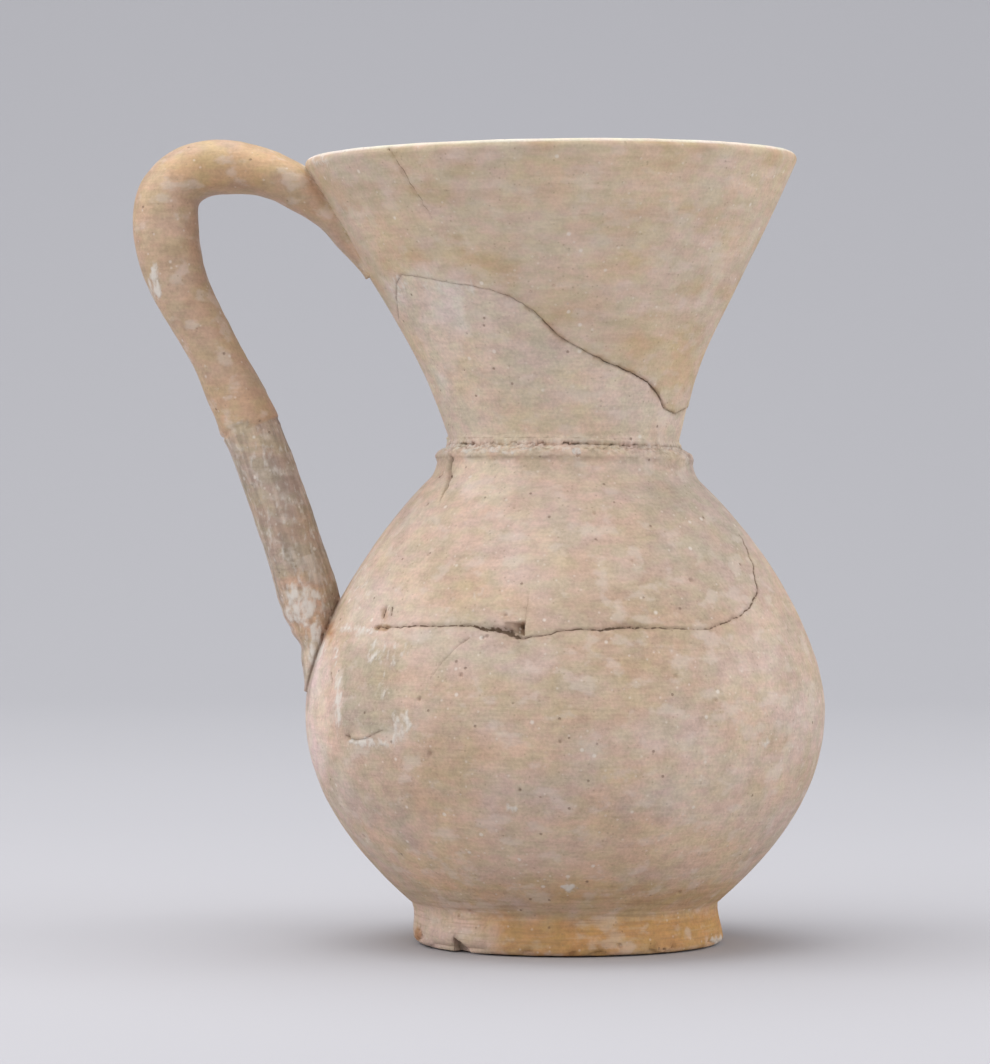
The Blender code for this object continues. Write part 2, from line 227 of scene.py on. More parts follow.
inside_floor = bend(
    np.array([0, FLOOR_THICKNESS]),
    np.array([FLOOR_FLAT, FLOOR_THICKNESS]),
    inside_bowl[0] - FLOOR_TURN_PULL * climbing(BOWL_CLIMB_DEG),
    inside_bowl[0],
    INSIDE_ROW,
)
throat = np.array([[NECK_BASE_RADIUS - NECK_WALL, BEAD_HEIGHT]])
inside_rows = np.concatenate([inside_floor, inside_bowl, inside_shoulder, throat, inside_neck])[::-1]


def keep(mesh, name, column):
    """Stores a number, or three, for each point of a mesh under a name."""
    column = np.asarray(column, np.float32)
    kind, field = ("FLOAT", "value") if column.ndim == 1 else ("FLOAT_VECTOR", "vector")
    mesh.attributes.new(name, kind, "POINT").data.foreach_set(field, column.ravel())


def line_of(name, points, kept):
    """An object of points joined in a line, with the numbers that each point keeps under these names."""
    mesh = bpy.data.meshes.new(name)
    mesh.from_pydata([tuple(p) for p in points], [(i, i + 1) for i in range(len(points) - 1)], [])
    for label, column in kept.items():
        keep(mesh, label, column)
    return placed(name, mesh)


outline = line_of(
    "outline",
    [(r, 0, z) for r, z in np.concatenate([outside_rows, inside_rows])],
    {"outside": [1.0] * len(outside_rows) + [0.0] * len(inside_rows)},
)


def new_tree(name, kind, inputs, outputs):
    """A new node tree with these named inputs and outputs, each input with its kind and its starting value."""
    tree = bpy.data.node_groups.new(name, kind)
    for label, form, value in inputs:
        socket = tree.interface.new_socket(label, in_out="INPUT", socket_type="NodeSocket" + form)
        if value is not None:
            socket.default_value = value
    for label, form in outputs:
        tree.interface.new_socket(label, in_out="OUTPUT", socket_type="NodeSocket" + form)
    return tree, tree.nodes.new("NodeGroupInput").outputs, tree.nodes.new("NodeGroupOutput")


def mesh_tree(name, settings):
    return new_tree(name, "GeometryNodeTree", [("Geometry", "Geometry", None)] + settings, [("Geometry", "Geometry")])


def put(tree, kind, settings=None, **links):
    """Adds a node. A link's name is the socket's, with _ for a space, and its value is a socket or a constant."""
    node = tree.nodes.new(kind)
    for key, value in (settings or {}).items():
        setattr(node, key, value)
    for key, value in links.items():
        if key[0] == "i" and key[1:].isdigit():
            socket = node.inputs[int(key[1:])]
        else:
            socket = next(s for s in node.inputs if s.name == key.replace("_", " ") and s.enabled)
        if isinstance(value, bpy.types.NodeSocket):
            tree.links.new(value, socket)
        else:
            socket.default_value = value
    return node


def maths(tree, operation, *numbers, clamped=False):
    """The result of one sum on sockets or constants."""
    parts = {f"i{k}": number for k, number in enumerate(numbers)}
    return put(tree, "ShaderNodeMath", {"operation": operation, "use_clamp": clamped}, **parts).outputs[0]


def times(tree, first, *others):
    for other in others:
        first = maths(tree, "MULTIPLY", first, other)
    return first


def plus(tree, first, *others):
    for other in others:
        first = maths(tree, "ADD", first, other)
    return first


def vectors(tree, operation, a, b):
    return put(tree, "ShaderNodeVectorMath", {"operation": operation}, i0=a, i1=b).outputs[0]


def joined(tree, x, y, z):
    """Three numbers as one place or colour."""
    return put(tree, "ShaderNodeCombineXYZ", X=x, Y=y, Z=z).outputs[0]


def parted(tree, place):
    """The three numbers of a place."""
    return put(tree, "ShaderNodeSeparateXYZ", Vector=place).outputs


def lumps(tree, place, seed, scale, detail):
    """Seeded noise about 0."""
    found = put(
        tree, "ShaderNodeTexNoise", {"noise_dimensions": "4D"}, Vector=place, W=seed, Scale=scale, Detail=detail
    )
    return maths(tree, "SUBTRACT", found.outputs[0], 0.5)


def recalled(tree, name, kind="FLOAT"):
    """The numbers that a tree's points keep under a name."""
    return put(tree, "GeometryNodeInputNamedAttribute", {"data_type": kind}, Name=name).outputs["Attribute"]


def stored(tree, geometry, name, value, kind="FLOAT"):
    settings = {"data_type": kind, "domain": "POINT"}
    return put(
        tree, "GeometryNodeStoreNamedAttribute", settings, Geometry=geometry, Name=name, Value=value
    ).outputs["Geometry"]


def fired(tree, geometry, material, made):
    """Ends a tree with real geometry of this material."""
    real = put(tree, "GeometryNodeRealizeInstances", Geometry=geometry).outputs["Geometry"]
    done = put(tree, "GeometryNodeSetMaterial", Geometry=real, Material=material)
    tree.links.new(done.outputs["Geometry"], made.inputs["Geometry"])
    return tree


def wheel(settings):
    """Turns an outline into a wall: a sheet of rows, each carried round the axis, with the finger rings in it."""
    tree, out, made = mesh_tree("wheel", settings)
    rows = put(tree, "GeometryNodeObjectInfo", Object=out["Outline"]).outputs["Geometry"]
    sized = put(tree, "GeometryNodeAttributeDomainSize", {"component": "MESH"}, Geometry=rows)
    count = sized.outputs["Point Count"]
    seams = put(tree, "FunctionNodeIntegerMath", {"operation": "ADD"}, i0=out["Around"], i1=1).outputs[0]
    sheet = put(tree, "GeometryNodeMeshGrid", Size_X=1.0, Size_Y=1.0, Vertices_X=seams, Vertices_Y=count)
    index = put(tree, "GeometryNodeInputIndex").outputs[0]
    row = put(tree, "FunctionNodeIntegerMath", {"operation": "MODULO"}, i0=index, i1=count).outputs[0]
    place = put(tree, "GeometryNodeInputPosition").outputs[0]

    def on_row(value, kind):
        """What the outline has at the row of this point of the sheet."""
        settings = {"data_type": kind, "domain": "POINT"}
        return put(tree, "GeometryNodeSampleIndex", settings, Geometry=rows, Value=value, Index=row).outputs["Value"]

    turn = maths(tree, "MULTIPLY_ADD", parted(tree, place)["X"], math.tau, -math.pi / 2)
    wall = parted(tree, on_row(place, "FLOAT_VECTOR"))
    around_x, around_y = maths(tree, "COSINE", turn), maths(tree, "SINE", turn)

    def hollows(level, scale, detail, depth):
        """Unevenness this deep all round the wall, at a height that is stretched already."""
        place = joined(tree, around_x, around_y, level)
        return times(tree, lumps(tree, place, out["Seed"], scale, detail), depth)

    rings = hollows(maths(tree, "DIVIDE", wall["Z"], out["Ring spacing"]), 0.45, 2.0, out["Ring depth"])
    slow = hollows(times(tree, wall["Z"], 18.0), 0.7, 1.0, out["Wobble"])
    from_axis = maths(tree, "MULTIPLY", wall["X"], 40.0, clamped=True)
    above_foot = maths(tree, "MULTIPLY", wall["Z"], 120.0, clamped=True)
    uneven = plus(tree, rings, slow)
    radius = maths(tree, "MULTIPLY_ADD", uneven, times(tree, from_axis, above_foot), wall["X"])
    on_wheel = joined(tree, radius, 0.0, wall["Z"])
    turned = put(tree, "ShaderNodeVectorRotate", {"rotation_type": "Z_AXIS"}, Vector=on_wheel, Angle=turn)
    sided = stored(tree, sheet.outputs["Mesh"], "outside", on_row(recalled(tree, "outside"), "FLOAT"))
    shaped = put(tree, "GeometryNodeSetPosition", Geometry=sided, Position=turned.outputs["Vector"])
    closed = put(tree, "GeometryNodeMergeByDistance", Geometry=shaped.outputs["Geometry"], Distance=0.00001)
    return fired(tree, closed.outputs["Geometry"], out["Clay"], made)


def grown(name, build, settings):
    """The plain mesh from a tree that is built with these settings: the name, kind and value of each input."""
    holder = placed(name, bpy.data.meshes.new(name))
    modifier = holder.modifiers.new(name, "NODES")
    modifier.node_group = build(settings)
    values = {label: value for label, _, value in settings}
    for item in modifier.node_group.interface.items_tree:
        if item.name in values:
            modifier[item.identifier] = values[item.name]
    bpy.context.view_layer.update()
    result = bpy.data.meshes.new_from_object(holder.evaluated_get(bpy.context.evaluated_depsgraph_get()))
    bpy.data.objects.remove(holder)
    return result


clay = bpy.data.materials.new("fired_clay")
wall_mesh = grown(
    "thrown_wall",
    wheel,
    [
        ("Outline", "Object", outline),
        ("Around", "Int", AROUND),
        ("Ring depth", "Float", 0.00034),
        ("Ring spacing", "Float", 0.0036),
        ("Wobble", "Float", 0.0009),
        ("Seed", "Float", 4.0),
        ("Clay", "Material", clay),
    ],
)
bpy.data.objects.remove(outline)

# The breaks: sherds glued edge to edge, so each join shows as a fine groove with earth or glue in it.
# The widest has lost its edges along the shoulder. A groove is a list of (across, down, width in mm) in the view.
JOINS = {
    "shoulder_join": [
        (375, 627, 0.5), (395, 627, 0.4), (411, 626, 0.45), (441, 626, 0.35), (468, 625.5, 0.5),
        (484, 628, 0.9), (495, 629.5, 1.2), (503, 630.5, 1.3), (510, 632.8, 1.2), (516, 636.5, 0.9),
        (521, 638.6, 0.4), (528, 637, 0.35), (550, 634.9, 0.35), (556, 632, 0.35), (582, 629, 0.4),
        (603, 630, 0.6), (613, 628, 0.7), (630, 627, 0.6), (668, 628, 0.45), (693, 629, 0.4),
        (709, 628, 0.45), (725, 622, 0.45), (741, 615, 0.45), (750, 608, 0.4), (753, 600, 0.4),
        (759, 593, 0.45), (756, 579, 0.35), (753, 565, 0.3), (747, 549, 0.2), (739, 535, 0.12),
    ],
    "left_join": [(450, 458, 1.1), (449, 480, 0.9), (444, 492, 0.35), (440, 501, 0.12)],
    "left_gouge": [(386, 607, 0.4), (385, 611, 0.7), (383, 617, 0.5)],
    "right_gouge": [(392, 608, 0.5), (391, 615, 0.3)],
    "flake_crack": [(525, 622, 0.3), (527, 607, 0.25), (528, 593, 0.12)],
    "belly_crack": [(469, 638, 0.3), (452, 650, 0.25), (433, 675, 0.12)],
    "sherd_top": [
        (399, 318, 0.25), (396.6, 300, 0.25), (396.6, 284, 0.3), (401, 275, 0.35), (422, 277, 0.25),
        (447, 282, 0.25), (473, 286, 0.25), (492, 291, 0.3), (509, 296, 0.45),
    ],
    "sherd_edge": [
        (509, 296, 0.25), (529, 307, 0.35), (540, 317, 0.5), (555, 333, 0.45), (567, 341, 0.3),
        (588, 353, 0.3), (613, 365, 0.5), (633, 374, 0.55), (649, 383, 0.5), (658, 395, 0.4),
        (663, 407, 0.35), (675, 414, 0.35), (687, 407, 0.3),
    ],
    "healed_groove": [(388, 149, 0.8), (397, 162, 0.7), (412, 188, 0.7), (420, 199, 0.5), (432, 218, 0.2)],
    "patch_foot": [
        (346, 736, 0.4), (353, 739.5, 0.25), (362, 739.5, 0.22), (370, 736, 0.22), (376, 732, 0.2),
        (383, 730, 0.1),
    ],
    "patch_side": [(331, 673, 0.4), (332, 681, 0.3)],
}
# The same joins run on round the back, plainer, as (degrees round, height in mm, width in mm).
BACK_JOINS = {
    "back_join": [
        (2, 93, 0.15), (12, 90, 0.3), (22, 88, 0.4), (55, 93, 0.35), (80, 90, 0.5), (108, 86, 0.35),
        (140, 92, 0.3), (168, 88, 0.35),
    ],
    "back_rise": [(80, 90, 0.4), (88, 104, 0.35), (83, 118, 0.3), (94, 130, 0.35)],
    "back_fall": [(30, 88, 0.35), (38, 70, 0.3), (33, 52, 0.3), (45, 34, 0.2)],
}
MM = 0.001
GROOVE_STEP_PX = 5
JAG_PX = 0.42
BACK_STEP = 1.6
BACK_JAG = 0.28
THROAT_ACROSS_PX = 565
THROAT_DOWN_PX = 448
THROAT_HEIGHT = 0.138
METRES_PER_PX = 0.00027
jag = np.random.default_rng(5)

by_height = outside_rows[SOLE_ROWS:]
by_height = by_height[np.argsort(by_height[:, 1], kind="stable")]


def wall_radius(height):
    return np.interp(height, by_height[:, 1], by_height[:, 0])


def settled(points):
    """Where points of the true turned form came to lie: the neck leans, the rim dips and the bead lies askew."""
    x, y, z = points.T
    climb = np.clip((z - BEAD_HEIGHT) / (RIM_HEIGHT - BEAD_HEIGHT), 0, 1)
    near_bead = np.exp(-(((z - BEAD_HEIGHT) / BEAD_SLOPE_REACH) ** 2))
    dip = (x * math.tan(math.radians(RIM_DIP_DEG)) - y * math.tan(math.radians(RIM_NOD_DEG))) * climb**2
    askew = x * math.tan(math.radians(BEAD_SLOPE_DEG)) + y * math.tan(math.radians(BEAD_NOD_DEG))
    return np.stack([x - NECK_LEAN * climb, y, z + dip - askew * near_bead], axis=1)


def round_the_pot(degrees, height):
    """The point of the turned wall's outside at this turn from +X and this height."""
    turn = np.radians(degrees)
    radius = wall_radius(height)
    return np.stack([radius * np.cos(turn), radius * np.sin(turn), height], axis=-1)


def on_the_pot(across, down):
    """The point of the turned wall's near side that shows at this pixel of the view, found step by step."""
    wanted = np.array([[across, down]], float)
    height = THROAT_HEIGHT - (down - THROAT_DOWN_PX) * METRES_PER_PX
    x = (across - THROAT_ACROSS_PX) * METRES_PER_PX
    for _ in range(12):
        height = min(max(height, 0.0005), RIM_HEIGHT - 0.0005)
        radius = wall_radius(height)
        turn = -math.acos(min(max(x / radius, -0.998), 0.998))
        point = round_the_pot(math.degrees(turn), np.array(height))[None]
        miss = (wanted - seen_at(settled(point)))[0]
        depth = point[0, 1] - EYE.y
        x = min(max(x + miss[0] * depth / FOCAL_PX, -radius), radius)
        height -= miss[1] * depth / FOCAL_PX
    return point[0]


def groove(line, seen):
    """A groove's points on the pot with its width at each, close enough together to follow the wall."""
    stops = np.array(line, float)
    gone = np.concatenate([[0], np.cumsum(np.linalg.norm(np.diff(stops[:, :2], axis=0), axis=1))])
    step, stray = (GROOVE_STEP_PX, JAG_PX) if seen else (BACK_STEP, BACK_JAG)
    wanted = np.linspace(0, gone[-1], max(2, round(gone[-1] / step)) + 1)
    spots = np.stack([np.interp(wanted, gone, stops[:, k]) for k in range(3)], axis=1)
    spots[1:-1, :2] += jag.normal(0, stray, (len(spots) - 2, 2))
    if seen:
        places = np.array([on_the_pot(a, d) for a, d, _ in spots])
    else:
        places = round_the_pot(spots[:, 0], spots[:, 1] * MM)
    return places, spots[:, 2] * MM


grooves = {name: groove(line, True) for name, line in JOINS.items()}
grooves.update({name: groove(line, False) for name, line in BACK_JOINS.items()})


def beside(points, normals, places, widths, reach):
    """For each point: its distance from a groove, the groove's width there, and +1 below or -1 above it.

    Points further off than reach get that distance.
    """
    far = np.full(len(points), reach)
    width = np.zeros(len(points))
    side = np.ones(len(points))
    low, high = places.min(axis=0) - reach, places.max(axis=0) + reach
    near = np.flatnonzero(((points > low) & (points < high)).all(axis=1))
    spots, outward = points[near], normals[near]
    best, best_width, best_side = far[near], width[near], side[near]
    for a, b, wide_a, wide_b in zip(places, places[1:], widths, widths[1:]):
        along = b - a
        share = np.clip((spots - a) @ along / (along @ along), 0, 1)
        off = spots - (a + share[:, None] * along)
        gap = np.linalg.norm(off, axis=1)
        closer = gap < best
        best[closer] = gap[closer]
        best_width[closer] = (wide_a + share * (wide_b - wide_a))[closer]
        best_side[closer] = np.sign((np.cross(along, outward) * off).sum(axis=1) + 1e-12)[closer]
    far[near], width[near], side[near] = best, best_width, best_side
    return far, width, side


def read(mesh, field, wide=1, source=None):
    """A number, or several, for each point of a mesh, from its own fields or from what it keeps under a name."""
    found = np.empty(len(mesh.vertices) * wide, np.float32)
    (mesh.attributes[source].data if source else mesh.vertices).foreach_get(field, found)
    return (found.reshape(-1, wide) if wide > 1 else found).astype(float)


# The mesh is cut finer in three steps towards each groove, chip and pit.
# A pit is (across, down, half width in mm, depth in mm), and the loose ones lie anywhere.
PITS = [
    (377, 628.5, 1.1, 0.9), (386, 629, 1.0, 0.8), (468, 443, 1.0, 1.2), (690, 457, 1.5, 1.1),
    (461, 675, 0.8, 0.6), (419, 699, 0.8, 0.5), (430, 754, 0.8, 0.5), (349, 737, 1.0, 0.7),
    (417, 930, 1.3, 0.9), (419, 938, 1.1, 0.9), (459, 916, 0.7, 0.6), (472, 912, 0.7, 0.5),
    (578, 455, 0.8, 0.7), (506, 615, 0.6, 0.5), (523, 623, 0.9, 1.0), (487, 636, 0.7, 0.5),
    (483, 638, 0.6, 0.4), (594, 512, 0.7, 0.5), (632, 560, 0.6, 0.4), (676, 676, 0.7, 0.4),
    (560, 742, 0.7, 0.4), (716, 700, 0.7, 0.5), (520, 790, 0.7, 0.4), (620, 946, 0.9, 0.7),
    (664, 950, 0.8, 0.5), (413, 940, 1.2, 0.8),
]
LOOSE_PITS = 46
LOOSE_PIT_LOW = 0.004
LOOSE_PIT_HIGH = 0.214
BEAD_MIDDLE = 0.1376
BEAD_HALF = 0.0030
FLAKE_MIDDLE_PX = (514, 628)
FLAKE_REACH = 0.004
FINE_STEPS = ((0.0028, 0.0009), (0.0014, 0.00045), (0.0006, 0.00025))

rng = np.random.default_rng(11)
pit_places = [(on_the_pot(a, d), wide * MM, deep * MM) for a, d, wide, deep in PITS]
for _ in range(LOOSE_PITS):
    turn_deg = rng.uniform(-180, 180)
    height = rng.uniform(LOOSE_PIT_LOW, LOOSE_PIT_HIGH)
    size = 0.35 + 0.75 * rng.random() ** 3
    pit_places.append((round_the_pot(turn_deg, np.array(height)), size * MM, size * 0.55 * MM))


def nearness(points, normals):
    """How far each point is from the nearest groove, pit or edge of the flake."""
    nearest = np.full(len(points), 1.0)
    for places, widths in grooves.values():
        far, _, _ = beside(points, normals, places, widths, 0.004)
        nearest = np.minimum(nearest, np.where(far < 0.004, far, 1.0))
    rounds = [(place, wide) for place, wide, _ in pit_places] + [(on_the_pot(*FLAKE_MIDDLE_PX), FLAKE_REACH)]
    for place, wide in rounds:
        nearest = np.minimum(nearest, np.maximum(np.linalg.norm(points - place, axis=1) - wide, 0))
    off_bead = np.maximum(np.abs(points[:, 2] - BEAD_MIDDLE) - BEAD_HALF, 0)
    return np.minimum(nearest, off_bead + 0.0006 + 0.01 * (points[:, 1] > 0))


bm = bmesh.new()
bm.from_mesh(wall_mesh)
for reach, longest in FINE_STEPS:
    bm.verts.ensure_lookup_table()
    bm.normal_update()
    points = np.array([v.co for v in bm.verts])
    normals = np.array([v.normal for v in bm.verts])
    layer = bm.verts.layers.float["outside"]
    near = (nearness(points, normals) < reach) & (np.array([v[layer] for v in bm.verts]) > 0.5)
    cut = [e for e in bm.edges if all(near[v.index] for v in e.verts) and e.calc_length() > longest]
    bmesh.ops.subdivide_edges(bm, edges=cut, cuts=1, use_grid_fill=True)
bm.to_mesh(wall_mesh)
bm.free()


def mottle(points, size, seed, octaves=3):
    """Smooth random numbers about 0, in lumps of about this size, for each point."""
    shift = Vector((seed, 1.7 * seed, -seed))
    return np.array([noise.fractal(Vector(p) / size + shift, 1.0, 2.0, octaves) for p in points])


def eased(x):
    x = np.clip(x, 0, 1)
    return x * x * (3 - 2 * x)


def ridge(off, width):
    """1 at 0, fading to nothing on both sides over about twice this width."""
    return np.exp(-((off / width) ** 2))


def stretch(place, start, rise, end, fall):
    """1 between two places, easing in over the rise after the first and out over the fall before the second."""
    return eased((place - start) / rise) * eased((end - place) / fall)


# How each join lies: how deep for its width, how proud its lower and upper sides stand in mm, and how far that
# reaches. A join's lower side is on the right of a line that is followed from left to right.
LIE = {
    "shoulder_join": (1.15, 0.18, 0.0, 3.5),
    "left_join": (1.4, 0.06, 0.0, 3.0),
    "sherd_top": (0.8, 0.0, 0.10, 3.0),
    "sherd_edge": (1.2, 0.0, 0.42, 6.0),
    "healed_groove": (0.7, 0.0, 0.08, 3.0),
    "patch_foot": (1.1, 0.0, 0.20, 5.0),
    "back_join": (1.5, 0.12, 0.0, 3.5),
    "back_rise": (1.3, 0.10, 0.0, 3.0),
    "back_fall": (1.3, 0.0, 0.10, 3.0),
}
PLAIN_LIE = (1.0, 0.0, 0.0, 1.0)
SWELL_MM = 0.10
SWELL_SIZE = 0.011
GRAIN_MM = 0.035
GRAIN_SIZE = 0.0060
BEAD_CRUMBLE_MM = 0.42
UNDER_BEAD_HEIGHT = 0.1343
UNDER_BEAD_MM = 0.32
LIP_OVER_SEAM_TOP = 0.1408
LIP_OVER_SEAM_MM = 0.75
SEAM_FILL_MM = 0.95
FOOT_CHIP_MM = 1.2
FOOT_CHIP_SIZE = 0.0055
FLAKE_LEFT_PX = 504.0
FLAKE_RIGHT_PX = 524.5
FLAKE_TOP_PX = 621.5
FLAKE_LEFT_FOOT_PX = 629.5
FLAKE_FOOT_DROP_PX = 6.5
FLAKE_SHALLOW_MM = 0.35
FLAKE_DEPTH_MM = 2.4
OPEN_SEAM_LEFT_PX = 553
OPEN_SEAM_RIGHT_PX = 648
SEAM_HOLE_PX = 468
LIP_LEFT_PX = 458
LIP_RIGHT_PX = 660

points, normals = read(wall_mesh, "co", 3), read(wall_mesh, "normal", 3)
keep(wall_mesh, "as_thrown", points)
outer = read(wall_mesh, "value", source="outside")
thrown_height = points[:, 2].copy()
near_side = points[:, 1] < 0
lift = (SWELL_MM * mottle(points, SWELL_SIZE, 2) + GRAIN_MM * mottle(points, GRAIN_SIZE, 5)) * MM
wander = mottle(points, 0.0035, 8)
for name, (places, widths) in grooves.items():
    deep, below, above, reach = LIE.get(name, PLAIN_LIE)
    far, width, side = beside(points, normals, places, widths, 0.012)
    open_width = width * (1 + 0.45 * wander) + 0.00002
    sunk = deep * open_width * ridge(far, 0.75 * open_width)
    proud = np.where(side > 0, below, above) * MM * np.exp(-far / (reach * MM))
    lift += np.where(far < 0.012, proud - sunk, 0)

for place, wide, deep in pit_places:
    off = np.linalg.norm(points - place, axis=1) / wide * (1 + 0.35 * wander)
    lift -= deep * np.clip(1 - off**2, 0, 1)


def in_flake(points):
    """How far points of the settled pot are inside the flake lost above the shoulder join, and towards its deep end."""
    across, down = seen_at(points).T
    into = np.clip((across - FLAKE_LEFT_PX) / (FLAKE_RIGHT_PX - FLAKE_LEFT_PX), 0, 1)
    foot = FLAKE_LEFT_FOOT_PX + FLAKE_FOOT_DROP_PX * into
    inside = stretch(across, FLAKE_LEFT_PX, 2, FLAKE_RIGHT_PX + 0.5, 1.2) * stretch(down, FLAKE_TOP_PX, 1.5, foot, 1.5)
    return inside * (points[:, 1] < 0), into


within, into = in_flake(settled(points))
lift -= within * (FLAKE_SHALLOW_MM + FLAKE_DEPTH_MM * into**2) * MM

# The bead is crumbled, and clay from it laps over the seam here and there and fills it elsewhere.
crumble = mottle(points, 0.0016, 12)
lift += BEAD_CRUMBLE_MM * MM * ridge(thrown_height - BEAD_HEIGHT - 0.003, 0.004) * crumble
under_bead = ridge(thrown_height - UNDER_BEAD_HEIGHT, 0.0007)
seen_across = seen_at(settled(points))[:, 0]
open_seam = np.where(
    near_side,
    0.6 * stretch(seen_across, OPEN_SEAM_LEFT_PX, 24, OPEN_SEAM_RIGHT_PX, 30)
    + 0.8 * ridge(seen_across - SEAM_HOLE_PX, 7),
    0.8 * eased(mottle(points, 0.020, 14) + 0.5),
)
lip_here = np.where(
    near_side,
    stretch(seen_across, LIP_LEFT_PX, 14, LIP_RIGHT_PX, 24),
    eased(1.4 * mottle(points, 0.030, 15) + 0.5),
)
over_seam = eased((LIP_OVER_SEAM_TOP + 0.0005 * wander - thrown_height) / 0.0004)
over_seam *= (thrown_height > SEAM_MIDDLE + 0.0003) * lip_here
in_seam = ridge(thrown_height - SEAM_MIDDLE, 0.0005)
lift += in_seam * (1 - open_seam) * SEAM_FILL_MM * MM * (1 + 0.5 * crumble)
lift += MM * LIP_OVER_SEAM_MM * over_seam * (1 + 0.5 * wander)
lift -= MM * UNDER_BEAD_MM * under_bead * (1 + 0.5 * crumble)
foot_chips = eased((mottle(points, FOOT_CHIP_SIZE, 17) - 0.10) / 0.16)
lift -= ridge(thrown_height - 0.0009, 0.0011) * FOOT_CHIP_MM * MM * foot_chips
lift *= outer * (thrown_height > 0.0002)
points += normals * lift[:, None]

# The foot's left corner is worn round, and its sole is a little hollow, as it came off the wheel.
WORN_DEG = 178.0
WORN_SPREAD_DEG = 34.0
WORN_BACK = 0.0015
WORN_EDGE = 0.0016
SOLE_HOLLOW = 0.0004
SOLE_ROUGH = 0.00008
radius = np.hypot(points[:, 0], points[:, 1])
turn = np.degrees(np.arctan2(points[:, 1], points[:, 0]))
off_turn = (turn - WORN_DEG + 180) % 360 - 180
worn = ridge(off_turn, WORN_SPREAD_DEG) * outer * (points[:, 2] < WAIST_HEIGHT) * eased((radius - 0.02) / 0.02)
inset = worn * (WORN_BACK * (1 - (points[:, 2] / WAIST_HEIGHT) ** 2) + WORN_EDGE * np.exp(-points[:, 2] / 0.0012))
points[:, :2] *= (1 - inset / np.maximum(radius, 0.001))[:, None]
sole = (points[:, 2] < 0.0002) * outer
points[:, 2] += sole * (SOLE_HOLLOW * eased((0.040 - radius) / 0.006) + SOLE_ROUGH * mottle(points, 0.004, 21))
points[:, 2] = np.maximum(points[:, 2], 0)


def reshaped(name, mesh, points):
    """An object of this mesh with its points moved here."""
    mesh.vertices.foreach_set("co", points.astype(np.float32).ravel())
    mesh.update()
    return placed(name, mesh)


ewer = reshaped("thrown_ewer", wall_mesh, settled(points))

# The handle: a rolled rod of the same clay, pressed onto the neck under the rim, and down onto the shoulder.
# Its upper run and its lower run are two sherds, and the join between them steps in a little.
HANDLE_STANDOFF = 0.0390
HANDLE_ARCH_BELOW_RIM = 0.0029
HANDLE_ARCH_SETBACK = 0.0162
HANDLE_BEND_BELOW_RIM = 0.0169
HANDLE_TONGUE_BELOW_RIM = 0.0330
HANDLE_TONGUE_DEPTH = 0.0006
HANDLE_FOOT_HEIGHT = 0.0935
HANDLE_FOOT_STANDOFF = 0.0069
HANDLE_TIP_HEIGHT = 0.0700
HANDLE_TIP_DEPTH = 0.0004
FALL_LEAN_DEG = 15.5
# (share of the way down the handle, half thickness, half width)
HANDLE_SECTIONS = np.array(
    [
        (0.00, 0.0018, 0.0075), (0.07, 0.0040, 0.0105), (0.15, 0.0063, 0.0112), (0.27, 0.0078, 0.0100),
        (0.36, 0.0092, 0.0098), (0.54, 0.0073, 0.0092), (0.61, 0.0080, 0.0095), (0.645, 0.0084, 0.0096),
        (0.68, 0.0080, 0.0094), (0.75, 0.0081, 0.0095), (0.89, 0.0084, 0.0104), (0.92, 0.0067, 0.0108),
        (0.95, 0.0036, 0.0104), (1.00, 0.0012, 0.0080),
    ]
)
HANDLE_STEP = 0.0008
HANDLE_RINGS = 300
HANDLE_SIDES = 48
HANDLE_JOIN = 0.648
HANDLE_JOIN_SLANT = 0.006
HANDLE_LOWER_END = 0.925
HANDLE_STREAK_MM = 0.12
HANDLE_JOIN_DROP_MM = 0.10
HANDLE_JOIN_GROOVE_MM = 0.55
HANDLE_JOIN_LIP_MM = 0.15


def wall_at(height):
    """The outer wall's point on the handle's side at this height, and the wall's upward direction there."""
    low, high = settled(np.array([[-wall_radius(h), 0, h] for h in (height - 0.0005, height + 0.0005)]))
    return (low + high) / 2, (high - low) / np.linalg.norm(high - low)


tongue, neck_climb = wall_at(RIM_HEIGHT - HANDLE_TONGUE_BELOW_RIM)
tongue[0] += HANDLE_TONGUE_DEPTH
reach = RIM_RADIUS + NECK_LEAN + HANDLE_STANDOFF
arch = np.array([-reach + HANDLE_ARCH_SETBACK, 0, RIM_HEIGHT - HANDLE_ARCH_BELOW_RIM])
bend_point = np.array([-reach, 0, RIM_HEIGHT - HANDLE_BEND_BELOW_RIM])
handle_foot = wall_at(HANDLE_FOOT_HEIGHT)[0] - (HANDLE_FOOT_STANDOFF, 0, 0)
tip, tip_climb = wall_at(HANDLE_TIP_HEIGHT)
tip[0] += HANDLE_TIP_DEPTH
fall = np.array([math.sin(math.radians(FALL_LEAN_DEG)), 0, -math.cos(math.radians(FALL_LEAN_DEG))])
out = np.array([-1, 0, 0])
up = np.array([0, 0, 1])
stretches = (
    (tongue, 0.0174 * neck_climb, -0.0228 * out, arch),
    (arch, 0.0094 * out, 0.0092 * up, bend_point),
    (bend_point, -0.0270 * up, -0.0840 * fall, handle_foot),
    (handle_foot, 0.0100 * fall, 0.0100 * tip_climb, tip),
)
handle_line = np.concatenate(
    [bend(a, a + leave, b + arrive, b, HANDLE_STEP) for a, leave, arrive, b in stretches] + [[tip]]
)
gone = np.concatenate([[0], np.cumsum(np.linalg.norm(np.diff(handle_line, axis=0), axis=1))])
along = gone / gone[-1]
row = np.clip(np.searchsorted(HANDLE_SECTIONS[:, 0], along, "right") - 1, 0, len(HANDLE_SECTIONS) - 2)
before, after = HANDLE_SECTIONS[row], HANDLE_SECTIONS[row + 1]
share = eased((along - before[:, 0]) / (after[:, 0] - before[:, 0]))
